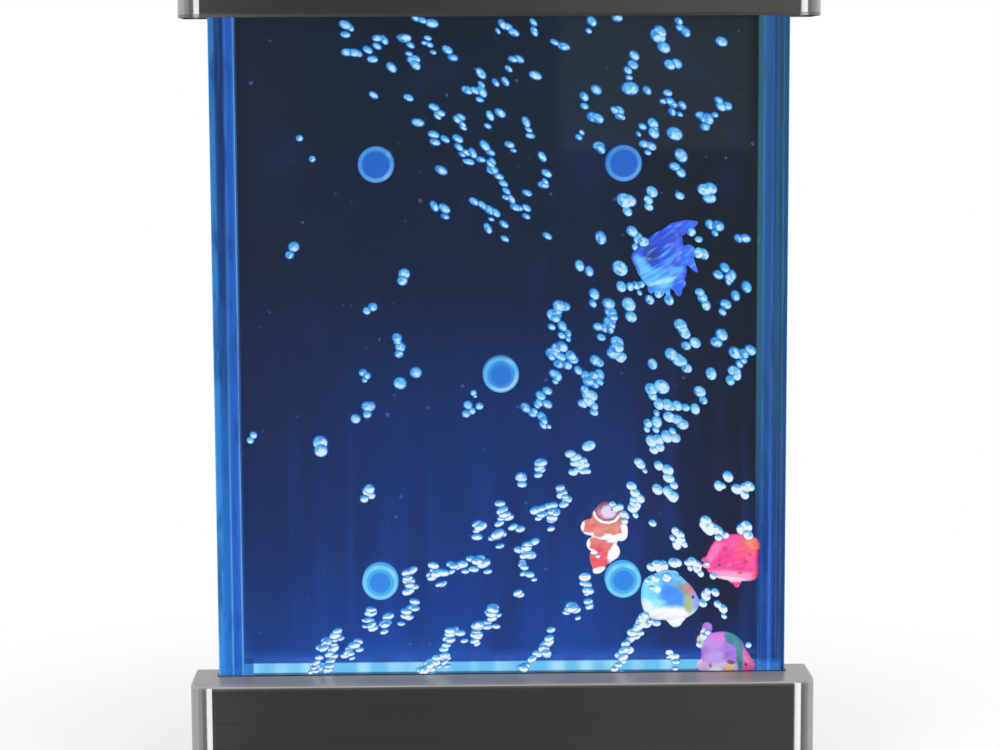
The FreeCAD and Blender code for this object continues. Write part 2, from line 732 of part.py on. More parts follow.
def pump_parts():
    """Give the air pump: case, lid, mounts, electromagnet, rocking arm, diaphragm and valve head."""
    y0 = pump_centre_y - pump_depth / 2
    y1 = pump_centre_y + pump_depth / 2
    case_top = pump_bottom + pump_case_height
    case = box(pump_left, pump_right, y0, y1, pump_bottom, case_top)
    case = case.cut(box(pump_left + pump_wall, pump_right - pump_wall, y0 + pump_wall, y1 - pump_wall,
                        pump_floor, case_top))
    cheek_top = arm_level + arm_boss_diameter / 2
    cheek_inside = arm_depth / 2 + cheek_gap
    cheek_outside = cheek_inside + cheek_thickness
    cheek_x0 = pivot_x - cheek_width / 2
    for inside, outside in ((cheek_inside, cheek_outside), (-cheek_outside, -cheek_inside)):
        case = case.fuse(box(cheek_x0, cheek_x0 + cheek_width,
                             pump_centre_y + inside, pump_centre_y + outside, pump_floor, cheek_top))
    pin_length = 2 * cheek_outside
    pin_start = point(pivot_x, pump_centre_y - cheek_outside, arm_level)
    case = case.cut(rod(pivot_pin_diameter, pin_length, pin_start, y_axis))
    outlet = point(pump_right - pump_wall, pump_centre_y, outlet_level)
    case = case.cut(rod(nipple_diameter + 2 * screw_clearance, pump_wall, outlet, x_axis))

    lid = box(pump_left, pump_right, y0, y1, case_top, pump_top)
    mounts = []
    for x in (pump_left + pump_mount_inset, pump_right - pump_mount_inset):
        for y in (y0 + pump_mount_inset, y1 - pump_mount_inset):
            mounts.append(rod(pump_mount_diameter, pump_mount_height, point(x, y, floor_plate_top), z_axis))

    head_x0 = diaphragm_x - valve_head_length / 2
    head_top = pump_floor + valve_head_height
    head = box(head_x0, head_x0 + valve_head_length, pump_centre_y - valve_head_depth / 2,
               pump_centre_y + valve_head_depth / 2, pump_floor, head_top)
    nipple_start = point(head_x0 + valve_head_length, pump_centre_y, outlet_level)
    nipple_run = pump_right + nipple_length - nipple_start.x
    head = head.fuse(rod(nipple_diameter, nipple_run, nipple_start, x_axis))
    bore_start = point(diaphragm_x, pump_centre_y, outlet_level)
    head = head.cut(rod(nipple_bore, pump_right + nipple_length - diaphragm_x, bore_start, x_axis))
    diaphragm = Part.makeCone(diaphragm_foot_diameter / 2, diaphragm_top_diameter / 2, diaphragm_height,
                              point(diaphragm_x, pump_centre_y, head_top), z_axis)

    arm_y0 = pump_centre_y - arm_depth / 2
    arm = box(arm_tip, pivot_x, arm_y0, arm_y0 + arm_depth, arm_bottom, arm_bottom + arm_thickness)
    boss_start = point(pivot_x, arm_y0, arm_level)
    arm = arm.fuse(rod(arm_boss_diameter, arm_depth, boss_start, y_axis))
    arm = arm.cut(rod(pivot_pin_diameter + 2 * pivot_running_gap, arm_depth, boss_start, y_axis))
    magnet_bottom = arm_level - magnet_height / 2
    magnet = box(arm_tip - magnet_length, arm_tip, arm_y0, arm_y0 + arm_depth,
                 magnet_bottom, magnet_bottom + magnet_height)

    core_x0 = core_middle - core_length / 2
    core_x1 = core_middle + core_length / 2
    core_y0 = pump_centre_y - core_depth / 2
    core_top = magnet_bottom - core_gap
    coil_bottom = pump_floor + core_foot
    legs = [(core_x0, core_x0 + core_leg), (core_x1 - core_leg, core_x1),
            (core_middle - core_middle_leg / 2, core_middle + core_middle_leg / 2)]
    core = [box(core_x0, core_x1, core_y0, core_y0 + core_depth, pump_floor, coil_bottom)]
    for x0, x1 in legs:
        core.append(box(x0, x1, core_y0 + core_leg, core_y0 + core_depth - core_leg, coil_bottom, core_top))
    coil_x0 = core_x0 + core_leg + coil_gap
    coil_x1 = core_x1 - core_leg - coil_gap
    coil = box(coil_x0, coil_x1, core_y0, core_y0 + core_depth, coil_bottom, core_top - coil_gap)
    leg_room = core_middle_leg / 2 + coil_gap
    coil = coil.cut(box(core_middle - leg_room, core_middle + leg_room,
                        core_y0 + core_leg - coil_gap, core_y0 + core_depth - core_leg + coil_gap,
                        coil_bottom, core_top))
    return {
        "pump_case": case.removeSplitter(),
        "pump_lid": lid,
        "pump_mounts": Part.makeCompound(mounts),
        "pump_valve_head": head.removeSplitter(),
        "pump_diaphragm": diaphragm,
        "pump_arm": arm.removeSplitter(),
        "pump_magnet": magnet,
        "pump_pivot_pin": rod(pivot_pin_diameter, pin_length, pin_start, y_axis),
        "pump_core": joined(core),
        "pump_coil": coil,
    }


def air_parts():
    """Give the air line: hose, check valve, long hose with its turn, and the manifold with its risers."""
    line_y = pump_centre_y
    hose_start = point(pump_right, line_y, outlet_level)
    valve_start = hose_start + x_axis * pump_hose_length
    valve_end = valve_start + x_axis * valve_length
    first_hose = pipe(hose_diameter, hose_bore, pump_hose_length, hose_start, x_axis)
    nipple_start = valve_start - x_axis * nipple_length
    nipple_run = valve_length + 2 * nipple_length
    valve = rod(valve_diameter, valve_length, valve_start, x_axis)
    valve = valve.fuse(rod(nipple_diameter, nipple_run, nipple_start, x_axis))
    valve = valve.cut(rod(nipple_bore, nipple_run, nipple_start, x_axis))

    left_end = jet_places[0] - manifold_end
    right_end = jet_places[-1] + manifold_end
    run = point(left_end, jet_y, manifold_level)
    manifold = rod(manifold_diameter, right_end - left_end, run, x_axis)
    inlet = point(right_end, jet_y, manifold_level)
    manifold = manifold.fuse(rod(nipple_diameter, nipple_length, inlet, x_axis))
    riser_height = tank_bottom + riser_seat - manifold_level
    riser_feet = [point(x, jet_y, manifold_level) for x in jet_places]
    for foot in riser_feet:
        manifold = manifold.fuse(rod(riser_diameter, riser_height, foot, z_axis))
    cavity = rod(manifold_diameter - 2 * manifold_wall, right_end - left_end - 2 * manifold_wall,
                 run + x_axis * manifold_wall, x_axis)
    manifold = manifold.cut(cavity)
    through_wall = 2 * manifold_wall
    inlet_bore_start = inlet - x_axis * through_wall
    manifold = manifold.cut(rod(nipple_bore, nipple_length + through_wall, inlet_bore_start, x_axis))
    for foot in riser_feet:
        manifold = manifold.cut(rod(riser_bore, riser_height, foot, z_axis))

    turn_x = right_end + nipple_length + hose_turn_margin
    low = point(turn_x, line_y, outlet_level)
    high = point(turn_x, jet_y, manifold_level)
    middle = (low + high) * 0.5 + x_axis * (low.distanceToPoint(high) / 2)
    route = Part.Wire([
        Part.LineSegment(valve_end, low).toShape(),
        Part.Arc(low, middle, high).toShape(),
        Part.LineSegment(high, inlet).toShape(),
    ])
    long_hose = swept(route, hose_diameter).cut(swept(route, hose_bore))
    return {
        "pump_hose": first_hose,
        "check_valve": valve.removeSplitter(),
        "manifold_hose": long_hose,
        "air_manifold": manifold.removeSplitter(),
    }


def control_parts():
    """Give the control board on its standoffs, the power inlet, the push button and the wires."""
    board_bottom = floor_plate_top + standoff_height
    board_top = board_bottom + board_thickness
    board_right = control_board_left + control_board_length
    board_rear = control_board_front + control_board_width
    board = [box(control_board_left, board_right, control_board_front, board_rear, board_bottom, board_top)]
    wire_y = board_rear - wire_row_inset
    connector_top = board_top + connector_height
    pump_connector = control_board_left + connector_width / 2
    for x in (pump_connector, led_wire_x, inlet_x, button_x):
        board.append(box(x - connector_width / 2, x + connector_width / 2,
                         board_rear - 2 * wire_row_inset, board_rear, board_top, connector_top))
    standoffs = []
    for x in (control_board_left + standoff_inset, board_right - standoff_inset):
        for y in (control_board_front + standoff_inset, board_rear - standoff_inset):
            standoffs.append(rod(standoff_diameter, standoff_height, point(x, y, floor_plate_top), z_axis))

    level = pocket_centre_height
    behind = pocket_floor - steel

    def body_behind(x):
        half = inlet_body / 2
        return box(x - half, x + half, behind - inlet_body, behind, level - half, level + half)

    inlet_start = point(inlet_x, behind, level)
    barrel_length = steel + inlet_proud
    inlet = body_behind(inlet_x).fuse(rod(inlet_barrel_diameter, barrel_length, inlet_start, y_axis))
    inlet = inlet.cut(rod(inlet_bore, barrel_length, inlet_start, y_axis))
    inlet = inlet.fuse(rod(inlet_pin_diameter, barrel_length - button_gap, inlet_start, y_axis))

    plunger_start = point(button_x, behind, level)
    collar_length = steel + button_barrel_proud
    housing = body_behind(button_x).fuse(rod(button_barrel_diameter, collar_length, plunger_start, y_axis))
    bore_depth = button_travel + 2 * button_gap
    bore_start = plunger_start - y_axis * bore_depth
    bore_length = bore_depth + collar_length
    housing = housing.cut(rod(button_diameter + 2 * button_gap, bore_length, bore_start, y_axis))
    button = rod(button_diameter, steel + button_proud, plunger_start, y_axis)
    rim = [edge for edge in button.Edges if edge.Closed and edge.CenterOfMass.y > pocket_floor]
    button = button.makeFillet(button_gap * 2, rim)

    middle = connector_top - connector_height / 2
    pump_side = point(pump_right, wire_y, arm_level)
    board_side = point(control_board_left, wire_y, middle)
    third = (board_side.x - pump_side.x) / 3
    routes = [
        [board_side, board_side - x_axis * third, pump_side + x_axis * third, pump_side],
        [point(led_wire_x, wire_y, connector_top), point(led_wire_x, wire_y, led_wire_level),
         point(led_wire_x, led_wire_rear, led_wire_level), point(led_wire_x, led_wire_rear, channel_floor)],
    ]
    for x in (inlet_x, button_x):
        solder = point(x, behind - inlet_body, level)
        routes.append([point(x, wire_y, connector_top), point(x, wire_y, level), solder])
    wires = [swept(bent_run(route, wire_bend), wire_diameter) for route in routes]
    return {
        "control_board": joined(board),
        "board_standoffs": Part.makeCompound(standoffs),
        "power_inlet": inlet.removeSplitter(),
        "button_housing": housing.removeSplitter(),
        "power_button": button,
        "wires": Part.makeCompound(wires),
    }


def main():
    """Build every piece and write one file for each."""
    parts = {}
    parts.update(cap_parts())
    parts.update(tank_parts())
    for size in fish_sizes:
        parts[size.name] = fish(size)
    parts.update(base_case_parts())
    parts.update(cradle_parts())
    parts.update(light_parts())
    parts.update(pump_parts())
    parts.update(air_parts())
    parts.update(control_parts())
    os.makedirs("parts", exist_ok=True)
    for name, shape in sorted(parts.items()):
        shape.exportStep("parts/" + name + ".step")
        box_of = shape.BoundBox
        print("%-20s solids %2d valid %s x %7.1f %7.1f y %6.1f %6.1f z %6.1f %6.1f volume %10.1f" % (
            name, len(shape.Solids), shape.isValid(), box_of.XMin, box_of.XMax, box_of.YMin, box_of.YMax,
            box_of.ZMin, box_of.ZMax, shape.Volume))
    print("pieces", len(parts), "base top", base_top, "cap top", cap_top)


main()
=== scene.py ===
"""Looks of a slim bubble wall panel: brushed steel case, lit water tank, five toy fish, rising bubbles."""

import functools
import logging
import math
import random
from dataclasses import dataclass, field
from enum import Enum
from typing import Any, Union

import bmesh
import bpy
from mathutils import Matrix, Vector


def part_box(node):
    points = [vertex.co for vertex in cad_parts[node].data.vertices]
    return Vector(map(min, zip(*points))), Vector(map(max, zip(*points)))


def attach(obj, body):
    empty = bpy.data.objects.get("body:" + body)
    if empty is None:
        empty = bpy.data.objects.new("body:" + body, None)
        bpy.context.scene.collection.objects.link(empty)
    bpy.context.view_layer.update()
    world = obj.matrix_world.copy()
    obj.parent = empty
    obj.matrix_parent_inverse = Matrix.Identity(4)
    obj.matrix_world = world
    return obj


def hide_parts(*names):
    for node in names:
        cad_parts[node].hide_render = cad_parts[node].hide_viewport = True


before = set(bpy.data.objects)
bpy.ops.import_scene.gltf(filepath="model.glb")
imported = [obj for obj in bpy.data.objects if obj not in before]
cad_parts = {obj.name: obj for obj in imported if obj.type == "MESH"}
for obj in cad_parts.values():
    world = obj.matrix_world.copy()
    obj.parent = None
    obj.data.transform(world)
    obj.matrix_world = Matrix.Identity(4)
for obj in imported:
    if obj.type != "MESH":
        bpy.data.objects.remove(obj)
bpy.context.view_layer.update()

LOG = logging.getLogger("bubble_panel")
MM = 0.001
BASE_TOP = 118.0
Point = tuple[float, float]
Colour = tuple[float, float, float, float]
Stops = list[tuple[float, Colour]]
Value = Union["Signal", float]


def srgb(red: float, green: float, blue: float) -> Colour:
    """Turn a screen colour into the linear colour that a shader takes.

    Args:
        red: Red from 0 to 255.
        green: Green from 0 to 255.
        blue: Blue from 0 to 255.

    Returns:
        The linear colour with full alpha.
    """
    parts = []
    for part in (red, green, blue):
        part = part / 255.0
        parts.append(part / 12.92 if part <= 0.04045 else ((part + 0.055) / 1.055) ** 2.4)
    return (parts[0], parts[1], parts[2], 1.0)


def graded(*rows: tuple[float, float, float, float]) -> Stops:
    """Turn rows of place, red, green and blue into a ramp's stops."""
    return [(place, srgb(red, green, blue)) for place, red, green, blue in rows]


@functools.lru_cache(maxsize=None)
def node_box(node: str) -> tuple[Vector, Vector]:
    """Give a CAD node's lowest and highest corners in millimetres."""
    low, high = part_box(node)
    return low / MM, high / MM


class Signal:
    """One socket of a shader, so that shader maths reads as Python."""

    def __init__(self, bench: "Bench", socket: bpy.types.NodeSocket) -> None:
        """Keep the socket and the bench that its nodes go on."""
        self.bench = bench
        self.socket = socket

    def maths(self, operation: str, first: Value, second: Value = 0.0) -> "Signal":
        """Add one Math node of this operation on one or two values."""
        return self.bench.node("ShaderNodeMath", {"operation": operation}, {0: first, 1: second})

    def __add__(self, other: Value) -> "Signal":
        """Add a value."""
        return self.maths("ADD", self, other)

    def __radd__(self, other: Value) -> "Signal":
        """Be added to a value."""
        return self.maths("ADD", other, self)

    def __sub__(self, other: Value) -> "Signal":
        """Take a value away."""
        return self.maths("SUBTRACT", self, other)

    def __rsub__(self, other: Value) -> "Signal":
        """Be taken away from a value."""
        return self.maths("SUBTRACT", other, self)

    def __mul__(self, other: Value) -> "Signal":
        """Multiply by a value."""
        return self.maths("MULTIPLY", self, other)

    def __rmul__(self, other: Value) -> "Signal":
        """Multiply a value."""
        return self.maths("MULTIPLY", other, self)

    def __truediv__(self, other: Value) -> "Signal":
        """Divide by a value."""
        return self.maths("DIVIDE", self, other)

    def __pow__(self, other: Value) -> "Signal":
        """Raise to a power."""
        return self.maths("POWER", self, other)

    def __abs__(self) -> "Signal":
        """Drop the sign."""
        return self.maths("ABSOLUTE", self)

    def smooth(self, start: float, end: float) -> "Signal":
        """Rise smoothly from 0 at start to 1 at end.

        Args:
            start: Where the rise starts; it may be the larger one.
            end: Where the rise ends.

        Returns:
            The risen value.
        """
        settings = {"interpolation_type": "SMOOTHSTEP", "clamp": True}
        sockets = {"Value": self, "From Min": start, "From Max": end}
        return self.bench.node("ShaderNodeMapRange", settings, sockets)


class Bench:
    """Lays the nodes of one node tree."""

    def __init__(self, tree: bpy.types.NodeTree) -> None:
        """Clear the tree and work on it."""
        tree.nodes.clear()
        self.tree = tree

    def node(
        self,
        kind: str,
        settings: dict[str, Any] | None = None,
        sockets: dict[Any, Any] | None = None,
        output: Any = 0,
    ) -> Signal:
        """Add a node of any kind.

        Args:
            kind: The node's type.
            settings: The node's own settings, set first; "stops" are a ramp's places and colours.
            sockets: Values or signals for its sockets, by name or number.
            output: The output to hand on, by name or number.

        Returns:
            The signal of that output.
        """
        made = self.tree.nodes.new(kind)
        for key, value in (settings or {}).items():
            if key == "stops":
                self.set_stops(made.color_ramp, value)
            else:
                setattr(made, key, value)
        for key, value in (sockets or {}).items():
            if isinstance(value, Signal):
                self.tree.links.new(value.socket, made.inputs[key])
            else:
                made.inputs[key].default_value = value
        if not made.outputs:
            return Signal(self, made.inputs[0])
        return Signal(self, made.outputs[output])

    @staticmethod
    def set_stops(ramp: bpy.types.ColorRamp, stops: Stops) -> None:
        """Give a ramp its stops.

        Args:
            ramp: The ramp of a Color Ramp node.
            stops: Places from 0 to 1, rising, each with its colour.
        """
        while len(ramp.elements) < len(stops):
            ramp.elements.new(1.0)
        for element, (place, colour) in zip(ramp.elements, stops):
            element.position = place
            element.color = colour

    def place(self) -> Signal:
        """Give the point on the surface in metres."""
        return self.node("ShaderNodeTexCoord", output="Object")

    def split(self, vector: Signal) -> tuple[Signal, Signal, Signal]:
        """Split a vector into its x, y and z."""
        made = self.node("ShaderNodeSeparateXYZ", sockets={0: vector}).socket.node
        return tuple(Signal(self, socket) for socket in made.outputs)

    def millimetres(self) -> tuple[Signal, Signal, Signal]:
        """Give the surface point's x, y and z in millimetres."""
        scaled = self.node("ShaderNodeVectorMath", {"operation": "SCALE"}, {0: self.place(), "Scale": 1000.0})
        return self.split(scaled)

    def facing(self) -> tuple[Signal, Signal, Signal]:
        """Give the three parts of the surface's normal."""
        return self.split(self.node("ShaderNodeNewGeometry", output="Normal"))

    def grain(self, scale: tuple[float, float, float], detail: float = 2.0, shift: float = 0.0) -> Signal:
        """Add noise that may be stretched along an axis.

        Args:
            scale: Noise cells for each metre along x, y and z.
            detail: How many finer layers the noise has.
            shift: A shift that gives another pattern.

        Returns:
            The noise, about 0.5 in the middle.
        """
        sockets = {"Vector": self.place(), "Location": (shift, shift, shift), "Scale": scale}
        mapped = self.node("ShaderNodeMapping", {"vector_type": "POINT"}, sockets)
        return self.node("ShaderNodeTexNoise", {}, {"Vector": mapped, "Scale": 1.0, "Detail": detail})

    def ramp(self, factor: Value, stops: Stops) -> Signal:
        """Colour a factor from 0 to 1 by a ramp's stops."""
        return self.node("ShaderNodeValToRGB", {"stops": stops}, {0: factor})

    def blend(self, factor: Value, first: Any, second: Any, how: str = "MIX") -> Signal:
        """Blend a second colour into a first one by a factor, in the Mix node's way that is named."""
        settings = {"data_type": "RGBA", "blend_type": how, "clamp_factor": True}
        return self.node("ShaderNodeMix", settings, {0: factor, 6: first, 7: second}, 2)

    def bump(self, height: Signal, strength: float, depth: float) -> Signal:
        """Turn a height, one unit of which is so many metres deep, into a bumped normal."""
        return self.node("ShaderNodeBump", {}, {"Height": height, "Strength": strength, "Distance": depth})

    def surface(self, **sockets: Any) -> Signal:
        """Add the main shader; a socket's name is written with _ for each space."""
        named = {key.replace("_", " "): value for key, value in sockets.items()}
        return self.node("ShaderNodeBsdfPrincipled", {}, named)


@dataclass(frozen=True)
class Finish:
    """A surface finish, which becomes one material."""

    name: str

    def material(self) -> bpy.types.Material:
        """Give the finish's material, made on its first use.

        Returns:
            The material.
        """
        ready = bpy.data.materials.get(self.name)
        if ready is None:
            ready = bpy.data.materials.new(self.name)
            ready.use_nodes = True
            bench = Bench(ready.node_tree)
            bench.node("ShaderNodeOutputMaterial", {}, {"Surface": self.lay(bench)})
            ready.cycles.emission_sampling = "NONE"
        return ready

    def lay(self, bench: Bench) -> Signal:
        """Lay the finish's nodes and give its shader."""
        raise NotImplementedError


@dataclass(frozen=True)
class BrushedSteel(Finish):
    """Stainless sheet with fine lines brushed along its length."""

    tone: float = 0.47
    roughness: float = 0.14
    line_scale: float = 900.0
    rim_level: float = -100.0
    edge_level: float = -100.0
    tank_shade_half_width: Point = (284.0, 268.0)
    tank_shade_depth: Point = (16.0, 4.0)
    near_edge: Point = (-20.0, -36.0)

    def lay(self, bench: Bench) -> Signal:
        """Lay the lines along x on upright and on level faces, duller where the sheet lies flat, with painted
        shade in front of the tank and a painted line along the cap's lower edge.

        Args:
            bench: The bench to lay on.

        Returns:
            The finish's shader.
        """
        flat = bench.facing()[2].smooth(0.6, 0.95)
        upright_lines = bench.grain((5.0, 5.0, self.line_scale), 3.0)
        level_lines = bench.grain((5.0, self.line_scale, 5.0), 3.0)
        lines = upright_lines + (level_lines - upright_lines) * flat
        cloud = bench.grain((5.0, 9.0, 7.0), 2.0, 4.0)
        shade = lines * 0.45 + cloud * 0.55
        dark = (self.tone * 0.93, self.tone * 0.925, self.tone * 0.91, 1.0)
        light = (self.tone * 1.07, self.tone * 1.065, self.tone * 1.06, 1.0)
        colour = bench.blend(shade.smooth(0.25, 0.75), dark, light)
        colour = bench.blend(flat * 0.5, colour, srgb(120, 122, 122))
        across, back, up = bench.millimetres()
        level = abs(up - self.edge_level)
        # Painted shade: a warm, less metallic patch on the base's top in front of the tank, painted lighter
        # towards the front edge.
        sides = abs(across).smooth(*self.tank_shade_half_width)
        painted_tank_shade = flat * sides * back.smooth(*self.tank_shade_depth) * level.smooth(3.0, 1.0)
        colour = bench.blend(painted_tank_shade, colour, srgb(166, 155, 141))
        near = painted_tank_shade * back.smooth(*self.near_edge)
        colour = bench.blend(near * 0.4, colour, srgb(196, 190, 182))
        edge = (1.0 - flat) * level.smooth(5.0, 0.5)
        # Painted edge line: duller, rougher steel along the cap's lower edge stands in for the edge's
        # highlight.
        rim = up.smooth(self.rim_level + 3.4, self.rim_level + 2.6)
        colour = bench.blend(rim * 0.6, colour, srgb(112, 114, 118))
        rough = self.roughness + (lines - 0.5) * 0.07 + (cloud - 0.5) * 0.06 + flat * 0.2 + rim * 0.12
        metal = 1.0 - flat * 0.4 - painted_tank_shade * 0.34 - edge * 0.12
        normal = bench.bump(lines, 0.03, 0.0002)
        return bench.surface(Base_Color=colour, Metallic=metal, Roughness=rough, Normal=normal)


@dataclass(frozen=True)
class ClearAcrylic(Finish):
    """Polished clear sheet whose cut edges glow a little."""

    half_width: float = 275.0

    def lay(self, bench: Bench) -> Signal:
        """Lay a nearly unseen face with brighter cut edges and faint smears.

        Args:
            bench: The bench to lay on.

        Returns:
            The finish's shader.
        """
        across = bench.millimetres()[0]
        facing = bench.node("ShaderNodeLayerWeight", {}, {"Blend": 0.3}, "Facing")
        edge = abs(across).smooth(self.half_width - 0.7, self.half_width - 0.2)
        smear = bench.grain((5.0, 5.0, 1.6), 3.0)
        alpha = 0.03 + facing**3.0 * 0.4 + edge * 0.5
        colour = bench.blend(edge, srgb(20, 34, 60), srgb(126, 186, 232))
        glow = bench.blend(edge, srgb(0, 0, 0), srgb(60, 120, 190))
        rough = 0.03 + smear * 0.06
        return bench.surface(
            Base_Color=colour, Roughness=rough, Alpha=alpha, IOR=1.49,
            Emission_Color=glow, Emission_Strength=0.6,
        )


class Side(Enum):
    """The tank's two upright sides."""

    LEFT = -1
    RIGHT = 1


@dataclass(frozen=True)
class BarGlow(Finish):
    """Thick acrylic side bar that carries the light of the strip up in bright and dark lines."""

    side: Side = Side.LEFT
    outer: float = 275.0
    depth: float = 24.0
    foot: float = 0.2
    fade_height: float = 560.0
    strip_level: Point = (127.0, 125.0)

    def stops(self) -> tuple[Stops, Stops]:
        """Give the lines from the outer edge inwards.

        Returns:
            The lines low down and the lines high up.
        """
        if self.side is Side.LEFT:
            low = graded(
                (0.0, 124, 184, 230), (0.05, 62, 140, 218), (0.2, 54, 134, 218), (0.3, 40, 116, 206),
                (0.5, 40, 112, 204), (0.575, 96, 160, 226), (0.62, 36, 92, 190), (0.8, 36, 98, 196),
                (0.91, 40, 104, 200), (0.965, 112, 172, 232), (1.0, 44, 96, 186),
            )
            high = graded(
                (0.0, 70, 130, 184), (0.04, 56, 122, 190), (0.18, 52, 116, 184), (0.26, 32, 68, 126),
                (0.38, 32, 54, 102), (0.52, 30, 48, 94), (0.58, 40, 86, 158), (0.64, 52, 116, 196),
                (0.7, 40, 90, 182), (0.84, 42, 88, 182), (0.93, 46, 104, 192), (0.975, 92, 160, 222),
                (1.0, 72, 134, 198),
            )
            return low, high
        low = graded(
            (0.0, 36, 70, 116), (0.12, 42, 80, 130), (0.18, 78, 122, 190), (0.23, 38, 74, 144),
            (0.31, 36, 68, 134), (0.355, 80, 114, 188), (0.41, 30, 60, 146), (0.475, 28, 58, 146),
            (0.52, 70, 114, 204), (0.6, 60, 108, 204), (0.68, 58, 102, 198), (0.75, 38, 86, 180),
            (0.86, 36, 78, 170), (0.96, 54, 106, 194), (1.0, 36, 78, 158),
        )
        high = graded(
            (0.0, 50, 88, 124), (0.03, 20, 68, 118), (0.14, 20, 70, 122), (0.19, 72, 108, 164),
            (0.25, 20, 28, 64), (0.31, 20, 28, 64), (0.36, 44, 86, 148), (0.46, 46, 90, 154),
            (0.5, 16, 40, 90), (0.54, 18, 44, 98), (0.6, 62, 94, 164), (0.66, 34, 72, 150),
            (0.8, 38, 84, 164), (0.91, 42, 94, 174), (0.97, 76, 136, 204), (1.0, 56, 118, 172),
        )
        return low, high

    def lay(self, bench: Bench) -> Signal:
        """Lay upright lines that fade with height, and shine on the outer face.

        Args:
            bench: The bench to lay on.

        Returns:
            The finish's shader.
        """
        across, _, up = bench.millimetres()
        inwards = (self.outer - across * float(self.side.value)) / self.depth
        wander = (bench.grain((3.0, 3.0, 1.2), 2.0) - 0.5) * 0.02
        low, high = self.stops()
        height = (up - BASE_TOP).smooth(0.0, self.fade_height)
        lines = bench.blend(height, bench.ramp(inwards + wander, low), bench.ramp(inwards + wander, high))
        depth_lines = bench.grain((0.01, 420.0, 0.6), 1.0, 7.0).smooth(0.35, 0.7)
        sideways = abs(bench.facing()[0]).smooth(0.6, 0.9)
        streaked = bench.blend(sideways * depth_lines * 0.7, lines, srgb(18, 50, 120))
        fine = bench.grain((260.0, 60.0, 9.0), 3.0, 3.0)
        # Painted shade: darker patches in the bar's glow.
        dim_glow_patches = bench.grain((110.0, 40.0, 16.0), 3.0, 8.0).smooth(0.5, 0.72)
        streaked = bench.blend(dim_glow_patches * 0.6, streaked, srgb(22, 52, 112))
        inner = sideways * inwards.smooth(0.985, 0.995)
        streaked = bench.blend(inner * 0.55, streaked, srgb(32, 66, 112))
        foot = up.smooth(*self.strip_level) * inwards.smooth(0.12, 0.2)
        streaked = bench.blend(foot * self.foot, streaked, srgb(62, 140, 220))
        glow = bench.blend(fine.smooth(0.55, 0.8) * 0.3, streaked, srgb(80, 156, 226))
        rough = 0.06 + fine * 0.06
        base = bench.blend(0.25, srgb(4, 10, 24), glow)
        return bench.surface(
            Base_Color=base, Roughness=rough, Emission_Color=glow, Emission_Strength=0.8, IOR=1.49
        )


